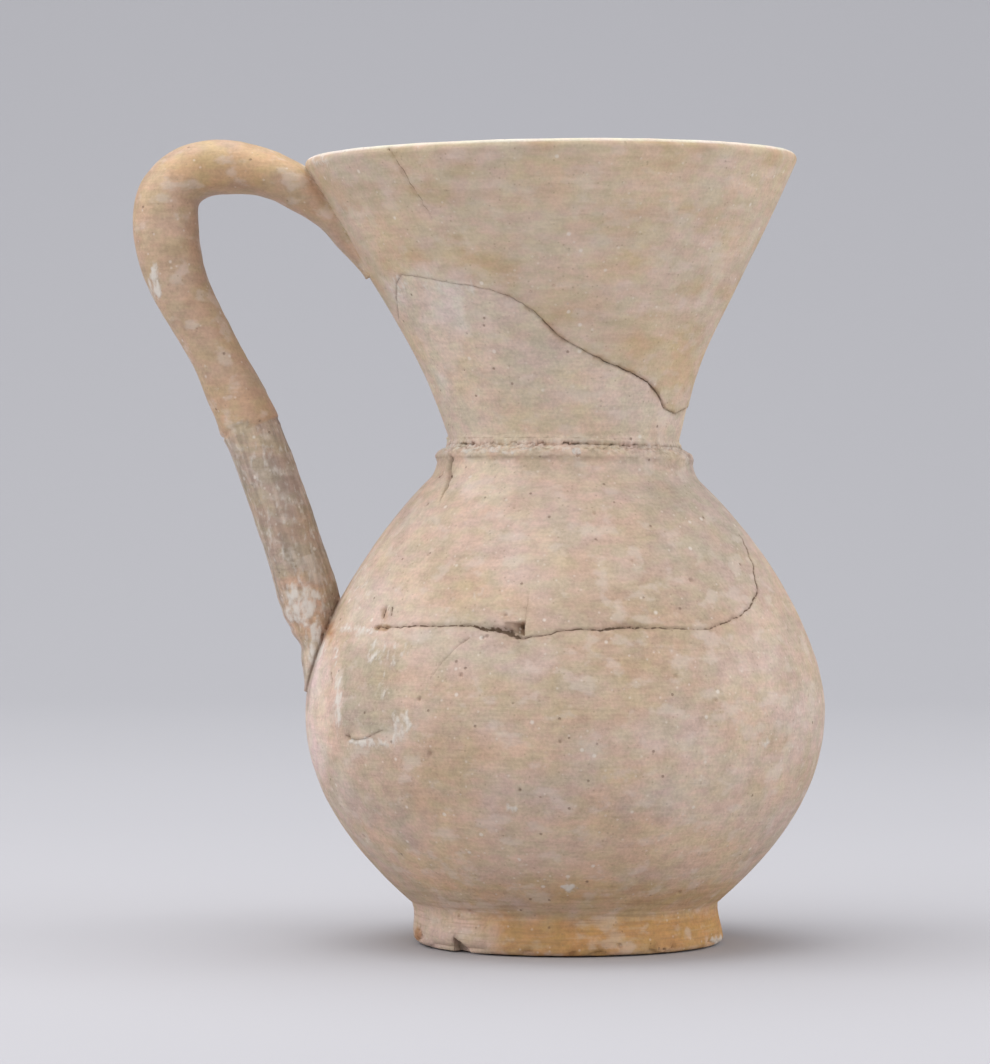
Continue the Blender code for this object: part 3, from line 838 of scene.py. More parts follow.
thick, wide = (before[:, k] + (after[:, k] - before[:, k]) * share for k in (1, 2))
path = line_of("handle_line", handle_line, {"thick": thick, "wide": wide, "along": along})


def rolled_rod(settings):
    """Sweeps a round section along a line, as thick and as wide as the line says, with the maker's unevenness."""
    tree, out, made = mesh_tree("rolled_rod", settings)
    line = put(tree, "GeometryNodeObjectInfo", Object=out["Line"]).outputs["Geometry"]
    curve = put(tree, "GeometryNodeMeshToCurve", Mesh=line).outputs["Curve"]
    even = put(tree, "GeometryNodeResampleCurve", Curve=curve, Count=out["Rings"]).outputs["Curve"]
    where = put(tree, "GeometryNodeInputPosition").outputs[0]
    centred = stored(tree, even, "centre", where, "FLOAT_VECTOR")
    ring = put(tree, "GeometryNodeCurvePrimitiveCircle", {"mode": "RADIUS"}, Resolution=out["Sides"], Radius=1.0)
    rod = put(tree, "GeometryNodeCurveToMesh", Curve=centred, Profile_Curve=ring.outputs["Curve"], Fill_Caps=True)
    centre, thick, wide = recalled(tree, "centre", "FLOAT_VECTOR"), recalled(tree, "thick"), recalled(tree, "wide")
    spoke = vectors(tree, "SUBTRACT", where, centre)
    skin = vectors(tree, "ADD", centre, vectors(tree, "MULTIPLY", spoke, joined(tree, thick, wide, thick)))
    lump = lumps(tree, skin, out["Seed"], maths(tree, "DIVIDE", 1.0, out["Lump size"]), 2.0)
    push = times(tree, lump, out["Unevenness"])
    push = put(tree, "ShaderNodeVectorMath", {"operation": "SCALE"}, i0=spoke, Scale=push).outputs[0]
    uneven_skin = vectors(tree, "ADD", skin, push)
    shaped = put(tree, "GeometryNodeSetPosition", Geometry=rod.outputs["Mesh"], Position=uneven_skin)
    return fired(tree, shaped.outputs["Geometry"], out["Clay"], made)


rod_mesh = grown(
    "rolled_handle",
    rolled_rod,
    [
        ("Line", "Object", path),
        ("Rings", "Int", HANDLE_RINGS),
        ("Sides", "Int", HANDLE_SIDES),
        ("Unevenness", "Float", 0.0011),
        ("Lump size", "Float", 0.013),
        ("Seed", "Float", 7.0),
        ("Clay", "Material", clay),
    ],
)
bpy.data.objects.remove(path)

rod_points, rod_normals = read(rod_mesh, "co", 3), read(rod_mesh, "normal", 3)
rod_along = read(rod_mesh, "value", source="along")
slant = HANDLE_JOIN + HANDLE_JOIN_SLANT * (rod_points[:, 1] / 0.010 + (rod_normals[:, 0] > 0))
slant += 0.003 * mottle(rod_points, 0.006, 31)
past = (rod_along - slant) * gone[-1]
lower = (past > 0) & (rod_along < HANDLE_LOWER_END)
streaks = mottle(rod_points * (1, 1, 0.12), 0.0016, 33)
rod_lift = 0.05 * mottle(rod_points, 0.0028, 35) + 0.06 * mottle(rod_points, 0.006, 36)
rod_lift += np.where(lower, HANDLE_STREAK_MM * streaks - HANDLE_JOIN_DROP_MM * np.exp(-past / 0.01), 0)
rod_lift -= HANDLE_JOIN_GROOVE_MM * ridge(past, 0.0005)
rod_lift += HANDLE_JOIN_LIP_MM * np.exp(-np.abs(past + 0.001) / 0.002) * (past < 0)
rod_points += rod_normals * (rod_lift * MM * eased((1 - rod_along) / 0.03))[:, None]
rod = reshaped("rolled_handle", rod_mesh, rod_points)

# The notch: a flake lost from the foot's lower edge, upright on its left and sloping to the right.
NOTCH_DEG = -131.0
NOTCH_WIDTH = 0.0084
NOTCH_RISE = 0.0042
NOTCH_DEPTH = 0.0052
NOTCH_ROUGH = 0.00028
NOTCH_ROUGH_SIZE = 0.0013

notch_bm = bmesh.new()
notch_out = np.array([math.cos(math.radians(NOTCH_DEG)), math.sin(math.radians(NOTCH_DEG)), 0])
notch_right = np.array([-notch_out[1], notch_out[0], 0])
left, right = -NOTCH_WIDTH / 2, NOTCH_WIDTH / 2
corners = (
    (left, -0.002, 1.0),
    (right + 0.001, -0.002, 0.7),
    (0.0, NOTCH_RISE * 0.62, 0.5),
    (left + NOTCH_WIDTH * 0.12, NOTCH_RISE, 0.6),
)
fronts, backs = [], []
for u, v, deep in corners:
    place = notch_out * FOOT_RADIUS + notch_right * u + up * v
    fronts.append(notch_bm.verts.new(place + notch_out * 0.002))
    backs.append(notch_bm.verts.new(place - notch_out * deep * NOTCH_DEPTH))
for i in range(4):
    n = (i + 1) % 4
    notch_bm.faces.new((fronts[i], fronts[n], backs[n], backs[i]))
notch_bm.faces.new(fronts)
notch_bm.faces.new(backs)
bmesh.ops.recalc_face_normals(notch_bm, faces=notch_bm.faces)
bmesh.ops.subdivide_edges(notch_bm, edges=notch_bm.edges, cuts=14, use_grid_fill=True)
bmesh.ops.triangulate(notch_bm, faces=notch_bm.faces)
for v in notch_bm.verts:
    place = v.co / NOTCH_ROUGH_SIZE
    v.co += NOTCH_ROUGH * Vector([noise.noise(place + Vector((side, 0, 0))) for side in (0, 40, 80)])
notch_mesh = bpy.data.meshes.new("notch")
notch_bm.to_mesh(notch_mesh)
notch_bm.free()
notch = placed("notch", notch_mesh)

for other, operation in ((rod, "UNION"), (notch, "DIFFERENCE")):
    modifier = ewer.modifiers.new(other.name, "BOOLEAN")
    modifier.operation = operation
    modifier.object = other
    modifier.solver = "MANIFOLD"
bpy.context.view_layer.update()
mesh = bpy.data.meshes.new_from_object(ewer.evaluated_get(bpy.context.evaluated_depsgraph_get()))
for spent in (ewer, rod, notch):
    bpy.data.objects.remove(spent)
mesh.name = "thrown_ewer"

# The finish: bare fired clay, redder on the foot and the handle, with a lime bloom, plaster fills and old glue.
# Each tone is the clay's own colour, but for the painted light and shade that is marked where it is put. A stain is a
# soft patch at a place in the view, given by its half sizes.
BUFF = (0.540, 0.418, 0.335)
FILL = (0.585, 0.464, 0.358)
FILL_PALE = (0.630, 0.500, 0.385)
FOOT_PALE = (0.655, 0.495, 0.400)
WARMED = (0.610, 0.448, 0.335)
SHERD = (0.625, 0.510, 0.410)
PALE = (0.665, 0.535, 0.450)
PINK = (0.640, 0.480, 0.395)
ORANGE = (0.520, 0.292, 0.112)
OCHRE = (0.540, 0.400, 0.260)
GREYED = (0.475, 0.390, 0.320)
GREEN_GREY = (0.465, 0.375, 0.292)
HANDLE_RED = (0.485, 0.342, 0.238)
HANDLE_GREY = (0.400, 0.310, 0.245)
DUSKY = (0.430, 0.320, 0.235)
PLASTER_AND_GLINT_WHITE = (0.720, 0.670, 0.600)
EARTH_AND_SHADE_BROWN = (0.118, 0.074, 0.045)
RUST = (0.420, 0.215, 0.105)
FLAKE_BROWN = (0.230, 0.160, 0.105)
EDGE_BROWN = (0.420, 0.280, 0.170)
# (across, down, half width, half height in pixels, tone, strength)
STAINS_AND_PAINTED_LIGHT = [
    (470, 500, 60, 50, PALE, 0.35), (395, 600, 55, 70, PALE, 0.45), (560, 520, 120, 60, PINK, 0.35),
    (695, 520, 60, 70, GREYED, 0.8), (540, 740, 160, 90, WARMED, 0.35), (770, 700, 50, 90, PALE, 0.35),
    (612, 852, 28, 40, DUSKY, 0.55), (430, 830, 60, 50, DUSKY, 0.25), (600, 905, 110, 12, OCHRE, 0.7),
    (448, 765, 40, 66, (0.500, 0.368, 0.255), 0.6), (520, 690, 60, 46, GREYED, 0.35),
    (600, 600, 46, 84, (0.455, 0.340, 0.255), 0.3), (620, 605, 110, 66, (0.455, 0.340, 0.245), 0.55),
    (615, 690, 66, 40, (0.490, 0.365, 0.255), 0.5), (490, 480, 34, 30, (0.715, 0.620, 0.565), 0.5),
    # The stripe at (318, 700) is painted light along the belly's lit left edge.
    (345, 775, 12, 30, PALE, 0.5), (680, 770, 80, 50, PALE, 0.4), (318, 700, 12, 60, PALE, 0.5),
    (792, 650, 18, 44, DUSKY, 0.45), (445, 325, 22, 62, (0.700, 0.625, 0.570), 0.6),
    (410, 285, 26, 20, (0.680, 0.600, 0.540), 0.5), (640, 892, 150, 14, (0.500, 0.330, 0.170), 0.75),
    # The patch at (355, 182) is partly the sherd's greyer clay and partly painted shade under the handle's root.
    (355, 182, 44, 30, (0.500, 0.415, 0.330), 0.4), (690, 178, 110, 26, (0.670, 0.540, 0.430), 0.45),
    (470, 640, 60, 30, GREYED, 0.35), (740, 850, 26, 26, DUSKY, 0.3), (325, 690, 20, 70, PINK, 0.8),
    (560, 220, 80, 60, (0.640, 0.510, 0.385), 0.45), (330, 631, 4, 11, RUST, 0.8),
    (560, 850, 190, 50, WARMED, 0.9), (560, 840, 70, 26, (0.620, 0.470, 0.340), 0.35),
    # The stripe at (318, 720) is painted light along the belly's lit left edge.
    (700, 840, 50, 60, (0.640, 0.490, 0.385), 0.6), (318, 720, 12, 70, (0.70, 0.56, 0.51), 0.75),
    (560, 560, 90, 40, PALE, 0.3), (775, 745, 12, 10, OCHRE, 0.6), (612, 775, 26, 10, OCHRE, 0.5),
    (480, 600, 40, 24, OCHRE, 0.35), (500, 700, 60, 24, OCHRE, 0.3), (417, 934, 4, 8, RUST, 0.9),
    (382, 628, 8, 3, EDGE_BROWN, 0.8), (384, 613, 4, 8, EDGE_BROWN, 0.6),
    (590, 890, 140, 13, (0.530, 0.355, 0.200), 0.45),
]
HANDLE_STAINS = [
    (225, 165, 70, 20, (0.550, 0.376, 0.215), 0.8), (158, 215, 30, 42, (0.575, 0.420, 0.305), 0.8),
    (165, 290, 26, 40, (0.550, 0.400, 0.290), 0.6), (245, 440, 20, 14, (0.470, 0.370, 0.290), 0.7),
    (302, 612, 26, 34, (0.550, 0.375, 0.270), 0.85), (318, 655, 14, 22, (0.600, 0.480, 0.390), 0.8),
    (333, 634, 4, 14, RUST, 0.9),
]
# (across, down, half width, half height in pixels, strength)
PLASTER_AND_GLINT_MARKS = [
    (356, 630, 20, 6, 0.75), (372, 742, 26, 5, 0.85), (402, 722, 8, 20, 0.55), (386, 650, 22, 12, 0.45),
    (384, 676, 8, 18, 0.35), (480, 592, 8, 12, 0.3), (455, 612, 26, 4, 0.3), (717, 940, 8, 4, 0.9),
    (514, 808, 6, 5, 0.7), (568, 888, 10, 5, 0.8), (765, 740, 6, 5, 0.6), (300, 604, 18, 22, 0.75),
    # The mark at (154, 284) is a painted glint on the handle's left edge, not plaster.
    (316, 645, 7, 22, 0.75), (154, 284, 8, 22, 0.8), (337, 655, 3, 14, 0.7), (338.5, 705, 4, 36, 0.8),
    (400, 285, 10, 14, 0.5), (455, 286, 50, 7, 0.35), (500, 449, 40, 5, 0.5), (577, 451, 4, 4, 0.8),
    (355, 575, 18, 26, 0.35), (320, 160, 14, 8, 0.4),
]
SHERD_LEFT_PX = [(380, 300), (396, 276), (401, 274)]
SHERD_RIGHT_PX = [(700, 400)]
SHERD_SIDE_PX = 396
SHERD_FOOT_PX = 330
ORANGE_FROM_PX = 462
PATCH_LEFT_PX = 340
PATCH_RIGHT_PX = 402
PATCH_TOP_PX = 643
PATCH_BOTTOM_PX = 735
CHALKY_BEAD_TO_PX = 560
PALE_BEAD_TO_PX = 600
DARK_SEAM_LEFT_PX = 530
DARK_SEAM_RIGHT_PX = 655
# Across the view, where the painted shade under the bead is darkest and browner.
SHADE_UNDER_BEAD_LEFT_PX = 462
SHADE_UNDER_BEAD_RIGHT_PX = 565

points, normals = read(mesh, "co", 3), read(mesh, "normal", 3)
as_thrown = read(mesh, "vector", 3, "as_thrown")
true_points = points.copy()
for _ in range(3):
    true_points = points - (settled(true_points) - true_points)
seen_across, seen_down = seen_at(points).T
near_side = points[:, 1] < 0
radius = np.hypot(true_points[:, 0], true_points[:, 1])
height = true_points[:, 2]
clear_of_wall = radius - wall_radius(height)
on_handle = eased((clear_of_wall - 0.0002) / 0.0014) * (points[:, 0] < -0.02) * (height > 0.05) * (height < 0.23)
outer = eased((clear_of_wall + 0.0034) / 0.0010)
front = eased((0.004 - points[:, 1]) / 0.012) * outer
wander = mottle(points, 0.0060, 51)
broad = mottle(points, 0.0300, 52)
share_along = np.zeros(len(points))
best = np.full(len(points), 1.0)
held = on_handle > 0.01
for place, portion in zip(handle_line[::4], along[::4]):
    off = np.linalg.norm(points[held] - place, axis=1)
    share_along[held] = np.where(off < best[held], portion, share_along[held])
    best[held] = np.minimum(best[held], off)
on_handle = on_handle * (best < 0.0135)
on_body = outer * (1 - on_handle)
tone = np.tile(np.array(BUFF), (len(points), 1))


def tint(colour, weight):
    """Moves each point's colour towards another by this weight."""
    weight = np.clip(weight, 0, 1)[:, None]
    tone[:] = tone * (1 - weight) + np.array(colour) * weight


def blot(across, down, half_wide, half_high):
    """A soft uneven patch on the near side, as a weight for each point."""
    off = np.hypot((seen_across - across) / half_wide, (seen_down - down) / half_high)
    return eased((1.25 + 0.5 * wander - off) / 0.6) * front


def above_line(line, spread):
    """How far a point is above a join, followed from left to right: 1 above and 0 below, this soft in pixels."""
    stops = np.array(line, float)
    return eased((np.interp(seen_across, stops[:, 0], stops[:, 1]) - seen_down) / spread + 0.5)


neck_part = eased((height - SEAM_MIDDLE) / 0.001)
sherd_line = [stop[:2] for stop in JOINS["sherd_top"][4:] + JOINS["sherd_edge"][1:]]
left_of_sherd = eased((SHERD_SIDE_PX - seen_across) / 3 + 0.5) * eased((SHERD_FOOT_PX - seen_down) / 30)
near_fill = np.maximum(above_line(SHERD_LEFT_PX + sherd_line + SHERD_RIGHT_PX, 1.2), left_of_sherd)
far_fill = eased((height - 0.150) / 0.004 + 0.6 * wander)
is_fill = np.where(points[:, 1] > 0.0, far_fill, near_fill) * neck_part * on_body
tint(PALE, 0.22 * eased((broad + 0.1) / 0.6))
tint(DUSKY, 0.14 * eased((-broad - 0.05) / 0.6))
tint(SHERD, neck_part * (1 - is_fill))
tint(FILL, is_fill)
smears = mottle(points * (1, 1, 2.6), 0.0210, 61)
tint(OCHRE, 0.65 * is_fill * eased((smears - 0.06) / 0.32))
tint(FILL_PALE, 0.4 * is_fill * eased((-smears - 0.12) / 0.35))
orange_from = np.where(near_side, eased((seen_across - ORANGE_FROM_PX + 14 * wander) / 46), 0.7)
foot_band = eased((0.0160 + 0.0030 * wander - height) / 0.0080) * outer
tint(ORANGE, 0.92 * foot_band * orange_from)
tint(FOOT_PALE, 0.8 * foot_band * (1 - orange_from) * front)
for *patch, colour, weight in STAINS_AND_PAINTED_LIGHT:
    tint(colour, weight * blot(*patch))
slant = HANDLE_JOIN + HANDLE_JOIN_SLANT * (points[:, 1] / 0.010 + (normals[:, 0] > 0))
upper_run = eased((slant - share_along) / 0.004 + 0.5)
lower_run = on_handle * (1 - upper_run)
tint(HANDLE_RED, on_handle * upper_run)
tint(HANDLE_GREY, lower_run)
for *patch, colour, weight in HANDLE_STAINS:
    tint(colour, weight * on_handle * blot(*patch))
off_edge, _, _ = beside(as_thrown, normals, *grooves["sherd_edge"], 0.004)
crumbled_edge = ridge(off_edge, 0.0011) * eased((mottle(points, 0.006, 62) + 0.15) / 0.3)
tint(EDGE_BROWN, 0.55 * crumbled_edge * (1 - on_handle))
# The rim's top edge is whitened: partly plaster, partly a painted highlight where the rounded edge catches the light
# from above.
rim_highlight_and_plaster = eased((height - RIM_HEIGHT + 0.0010) / 0.0006) * (1 - on_handle)
tint(PLASTER_AND_GLINT_WHITE, 0.9 * rim_highlight_and_plaster)
patch_across = stretch(seen_across, PATCH_LEFT_PX - 2 * wander, 3, PATCH_RIGHT_PX + 7 * wander, 9)
patch_down = stretch(seen_down, PATCH_TOP_PX - 8 * wander, 9, PATCH_BOTTOM_PX + 2 * wander, 3)
tint(GREEN_GREY, patch_across * patch_down * front)
within, into = in_flake(points)
# The flake's bared clay is browner, and its painted shade deepens towards the flake's deep end.
tint(FLAKE_BROWN, within * (0.45 + 0.55 * into**3))
# The inside of the wall is darkened towards the bottom.
tint(EARTH_AND_SHADE_BROWN, 0.25 * (1 - outer) * eased((0.16 - height) / 0.04))

# White flecks: plaster and chalk, with painted glints in the lower run's streaks and on the handle's left edge.
plaster_and_glints = 0.27 * lower_run
for *patch, weight in PLASTER_AND_GLINT_MARKS:
    plaster_and_glints = np.maximum(plaster_and_glints, weight * blot(*patch))
bead_band = ridge(height - BEAD_MIDDLE, 0.0018) * on_body
chalkier = eased((CHALKY_BEAD_TO_PX - seen_across) / 60) * front
plaster_and_glints = np.maximum(plaster_and_glints, bead_band * (0.30 + 0.18 * chalkier))
whiter = eased((PALE_BEAD_TO_PX - seen_across) / 60) * front
crumbs = mottle(as_thrown, 0.0013, 63)
tint(PALE, bead_band * (0.35 + 0.55 * whiter))
tint(PLASTER_AND_GLINT_WHITE, bead_band * (0.25 + 0.45 * whiter) * eased((crumbs - 0.12) / 0.2))
foot_edge_worn = eased((0.0018 - height) / 0.0012) * outer
tint(PALE, 0.45 * foot_edge_worn * eased(0.5 + wander))

# How dark a join is next to the darkest, and the joins whose dark lines are drawn together, none beside another.
FAINT = {
    "healed_groove": 0.35,
    "sherd_top": 0.55,
    "sherd_edge": 0.68,
    "patch_foot": 0.6,
    "left_join": 0.55,
    "flake_crack": 0.30,
    "belly_crack": 0.28,
    "patch_side": 0.8,
    "back_rise": 0.7,
    "back_fall": 0.6,
}
LINES = {
    "line_a": ("shoulder_join",),
    "line_b": ("left_join", "sherd_top", "sherd_edge", "patch_foot", "back_join"),
    "line_c": (
        "left_gouge", "right_gouge", "flake_crack", "belly_crack",
        "patch_side", "healed_groove", "back_rise", "back_fall",
    ),
}
FAR_MM = 4.0
NO_LINE = (FAR_MM, FAR_MM, 0.3)
soil_and_shade = np.zeros(len(points))
for line_name, members in LINES.items():
    nearest_line = np.tile(NO_LINE, (len(points), 1))
    for name in members:
        darkness = FAINT.get(name, 1.0)
        far, width, side = beside(as_thrown, normals, *grooves[name], FAR_MM * MM)
        closer = far / MM < nearest_line[:, 1]
        nearest_line[closer] = np.stack([side * far / MM, far / MM, width / MM * darkness], axis=1)[closer]
        dirt_and_shade = 0.34 * darkness * ridge(far, 0.9 * width + 0.0001) * (far < 0.004)
        soil_and_shade = np.maximum(soil_and_shade, dirt_and_shade * (1 + 0.4 * wander))
    nearest_line[(outer < 0.5) | (on_handle > 0.5)] = NO_LINE
    keep(mesh, line_name, nearest_line)

for place, wide, deep in pit_places:
    off = np.linalg.norm(true_points - place, axis=1) / wide
    soil_and_shade = np.maximum(soil_and_shade, 0.75 * eased((0.85 - off) / 0.5) * (1 - 0.9 * is_fill))
seam_gap = ridge(height - SEAM_MIDDLE, 0.00042) * on_body
darkest = stretch(seen_across, DARK_SEAM_LEFT_PX, 40, DARK_SEAM_RIGHT_PX, 30) * near_side
# Painted shade: a thin dark line under the bead's overhang, browner and darker across the middle of the near side.
under_bead = ridge(height - UNDER_BEAD_HEIGHT, 0.0005) * on_body
brown_shade_under_bead = stretch(seen_across, SHADE_UNDER_BEAD_LEFT_PX, 20, SHADE_UNDER_BEAD_RIGHT_PX, 30) * front
# Painted shade in the crease where the handle's lower end meets the wall.
crease_shade = ridge(clear_of_wall - 0.0004, 0.0004) * (points[:, 0] < -0.060) * (height < 0.096) * (height > 0.066)
for dirt_and_shade in (
    seam_gap * (0.12 + 0.75 * darkest + 0.15 * wander),
    bead_band * 0.34 * eased((-crumbs - 0.16) / 0.25),
    under_bead * (0.10 + 0.22 * brown_shade_under_bead + 0.35 * wander),
    0.75 * crease_shade * (np.abs(points[:, 1]) < 0.014),
):
    soil_and_shade = np.maximum(soil_and_shade, dirt_and_shade)

keep(mesh, "fill", is_fill)
keep(mesh, "plaster_and_glints", plaster_and_glints)
keep(mesh, "soil_and_shade", np.clip(soil_and_shade * outer, 0, 1))
keep(mesh, "streaked", lower_run)
keep(mesh, "turned_marks", eased((0.0260 - height) / 0.016) * outer * eased((height - 0.0008) / 0.001))
keep(mesh, "rubbed", on_handle)
shade = np.ones((len(points), 4), np.float32)
shade[:, :3] = tone
mesh.attributes.new("tone", "FLOAT_COLOR", "POINT").data.foreach_set("color", shade.ravel())
for name in ("outside", "wide", "along", "thick", "centre", "as_thrown"):
    mesh.attributes.remove(mesh.attributes[name])


def uneven(tree, place, size, detail=3.0, squash=None):
    """Noise about 0.5 in lumps of this size, drawn out along an axis where squash is under 1."""
    if squash:
        place = vectors(tree, "MULTIPLY", place, squash)
    return put(tree, "ShaderNodeTexNoise", Vector=place, Scale=1 / size, Detail=detail).outputs["Fac"]


def between(tree, value, low, high, to_low=0.0, to_high=1.0):
    """A value taken from one range to another, held at its ends."""
    return put(
        tree,
        "ShaderNodeMapRange",
        {"interpolation_type": "SMOOTHSTEP"},
        Value=value,
        From_Min=low,
        From_Max=high,
        To_Min=to_low,
        To_Max=to_high,
    ).outputs[0]


def blend_colour(tree, weight, a, b, mode="MIX"):
    node = put(tree, "ShaderNodeMix", {"data_type": "RGBA", "blend_type": mode})
    for socket, value in zip([s for s in node.inputs if s.enabled], (weight, a, b)):
        if isinstance(value, bpy.types.NodeSocket):
            tree.links.new(value, socket)
        else:
            socket.default_value = value
    return next(s for s in node.outputs if s.enabled)


def dyed(tree, a, b):
    """Two colours multiplied."""
    return blend_colour(tree, 1.0, a, b, "MULTIPLY")


def levelled(tree, colour, level):
    """A colour made lighter or darker by this level."""
    return dyed(tree, colour, joined(tree, level, level, level))


def mottled_clay():
    """Clay's unevenness: cloudy patches, small flecks of lime and of dark grit, and the grain's height."""
    group, given, made = new_tree(
        "mottled_clay",
        "ShaderNodeTree",
        [("Place", "Vector", None), ("Colour", "Color", (0.5, 0.4, 0.3, 1)), ("Contrast", "Float", 1.0)],
        [("Colour", "Color"), ("Height", "Float"), ("Cloud", "Float")],
    )
    place, colour, contrast = given["Place"], given["Colour"], given["Contrast"]

    def specks(scale, present, low, high):
        """Round specks, in this share of the cells of this scale."""
        cells = put(group, "ShaderNodeTexVoronoi", Vector=place, Scale=scale).outputs
        pick = put(group, "ShaderNodeSeparateColor", Color=cells["Color"]).outputs[0]
        dots = between(group, cells["Distance"], low, high, 1.0, 0.0)
        return times(group, maths(group, "LESS_THAN", pick, present), dots)

    cloud = uneven(group, place, 0.016, 4.0)
    patch = uneven(group, place, 0.0040, 4.0)
    grain = uneven(group, place, 0.0009, 4.0)
    rings = uneven(group, place, 0.0100, 4.0, (1.0, 1.0, 9.0))
    warm = uneven(group, place, 0.024, 3.0, (1.0, 1.0, 1.7))
    hue = uneven(group, place, 0.0060, 4.0, (1.0, 1.0, 1.8))
    film = uneven(group, place, 0.0075, 7.0, (1.0, 1.0, 1.5))
    level = between(group, cloud, 0.3, 0.7, 0.95, 1.05)
    for part, amount in ((patch, 0.060), (grain, 0.075), (rings, 0.045)):
        level = plus(group, level, between(group, part, 0.28, 0.72, -amount, amount))
    level = plus(group, times(group, maths(group, "SUBTRACT", level, 1.0), contrast), 1.0)
    varied = levelled(group, colour, level)
    for spread, high, rosy, olive in (
        (hue, 0.65, (1.035, 0.975, 0.985, 1), (0.975, 1.012, 0.940, 1)),
        (warm, 0.68, (0.985, 1.00, 1.03, 1), (1.015, 0.985, 0.91, 1)),
    ):
        varied = dyed(group, varied, blend_colour(group, between(group, spread, 0.35, high), rosy, olive))
    filmed = times(group, between(group, film, 0.53, 0.66, 0.0, 0.34), contrast)
    varied = blend_colour(group, filmed, varied, (0.700, 0.600, 0.525, 1))
    for scale, present, wide, strength, speck in (
        (620.0, 0.13, 0.20, 0.34, (0.78, 0.71, 0.62, 1)),
        (300.0, 0.07, 0.16, 0.55, (0.80, 0.74, 0.66, 1)),
        (760.0, 0.12, 0.20, 0.30, (0.24, 0.165, 0.11, 1)),
    ):
        dots = specks(scale, present, wide * 0.6, wide * 1.5)
        varied = blend_colour(group, times(group, dots, strength), varied, speck)
    pored = specks(400.0, 0.07, 0.08, 0.22)
    bare = between(group, contrast, 0.75, 1.0, 0.1, 0.55)
    gritty = blend_colour(group, times(group, pored, bare), varied, (0.16, 0.10, 0.065, 1))
    high = plus(group, times(group, grain, 0.45), patch, times(group, rings, 0.7))
    high = maths(group, "SUBTRACT", high, times(group, pored, 0.8))
    for value, label in ((gritty, "Colour"), (high, "Height"), (cloud, "Cloud")):
        group.links.new(value, made.inputs[label])
    return group


def brushed_fill():
    """Long level strokes of the brush that evened out the plaster fill, as a colour level and a height."""
    group, given, made = new_tree(
        "brushed_fill",
        "ShaderNodeTree",
        [("Place", "Vector", None), ("Stroke width", "Float", 0.0026), ("Stroke length", "Float", 0.013)],
        [("Level", "Float"), ("Height", "Float")],
    )
    length = given["Stroke length"]
    tall = maths(group, "DIVIDE", length, given["Stroke width"])
    place = vectors(group, "MULTIPLY", given["Place"], joined(group, 1.0, 1.0, tall))
    finer = maths(group, "DIVIDE", 1.0, length)
    strokes = put(group, "ShaderNodeTexNoise", Vector=place, Scale=finer, Detail=5.0).outputs["Fac"]
    group.links.new(between(group, strokes, 0.3, 0.7, 0.955, 1.045), made.inputs["Level"])
    group.links.new(strokes, made.inputs["Height"])
    return group


clay.use_nodes = True
tree = clay.node_tree
tree.nodes.clear()


def here(name, output="Fac"):
    """What the ewer's points keep under a name."""
    return put(tree, "ShaderNodeAttribute", {"attribute_name": name}).outputs[output]


surface = put(tree, "ShaderNodeBsdfPrincipled")
final = put(tree, "ShaderNodeOutputMaterial")
tree.links.new(surface.outputs["BSDF"], final.inputs["Surface"])
place = put(tree, "ShaderNodeTexCoord").outputs["Object"]
mottled = put(
    tree,
    "ShaderNodeGroup",
    {"node_tree": mottled_clay()},
    Place=place,
    Colour=here("tone", "Color"),
    Contrast=between(tree, here("fill"), 0.0, 1.0, 1.0, 0.70),
).outputs
brushed = put(tree, "ShaderNodeGroup", {"node_tree": brushed_fill()}, Place=place).outputs
stroke = brushed["Level"]
stroke_colour = joined(tree, stroke, stroke, maths(tree, "POWER", stroke, 1.5))
look = blend_colour(tree, here("fill"), mottled["Colour"], dyed(tree, mottled["Colour"], stroke_colour))
down_handle = put(
    tree, "ShaderNodeVectorRotate", {"rotation_type": "Y_AXIS"}, Vector=place, Angle=math.radians(FALL_LEAN_DEG)
).outputs[0]
streaks = uneven(tree, down_handle, 0.0017, 4.0, (1.0, 1.0, 0.10))
streaky = levelled(tree, look, between(tree, streaks, 0.33, 0.67, 0.86, 1.15))
look = blend_colour(tree, here("streaked"), look, streaky)
ring_marks = uneven(tree, place, 0.0150, 5.0, (1.0, 1.0, 16.0))
for low, high, strength, mark in (
    (0.48, 0.66, 0.34, (0.330, 0.205, 0.110, 1)),
    (0.46, 0.32, 0.22, (0.600, 0.470, 0.330, 1)),
):
    marked = times(tree, between(tree, ring_marks, low, high), times(tree, here("turned_marks"), strength))
    look = blend_colour(tree, marked, look, mark)
# White chalk and plaster flecks, with the painted glints on the handle.
chalk = uneven(tree, place, 0.0017, 6.0, (1.0, 1.0, 0.6))
chalk_and_glints = between(tree, plus(tree, chalk, times(tree, here("plaster_and_glints"), 0.50)), 0.62, 0.98)
chalk_and_glints = times(tree, chalk_and_glints, between(tree, here("plaster_and_glints"), 0.0, 0.25))
look = blend_colour(tree, times(tree, chalk_and_glints, 0.85), look, (*PLASTER_AND_GLINT_WHITE, 1))
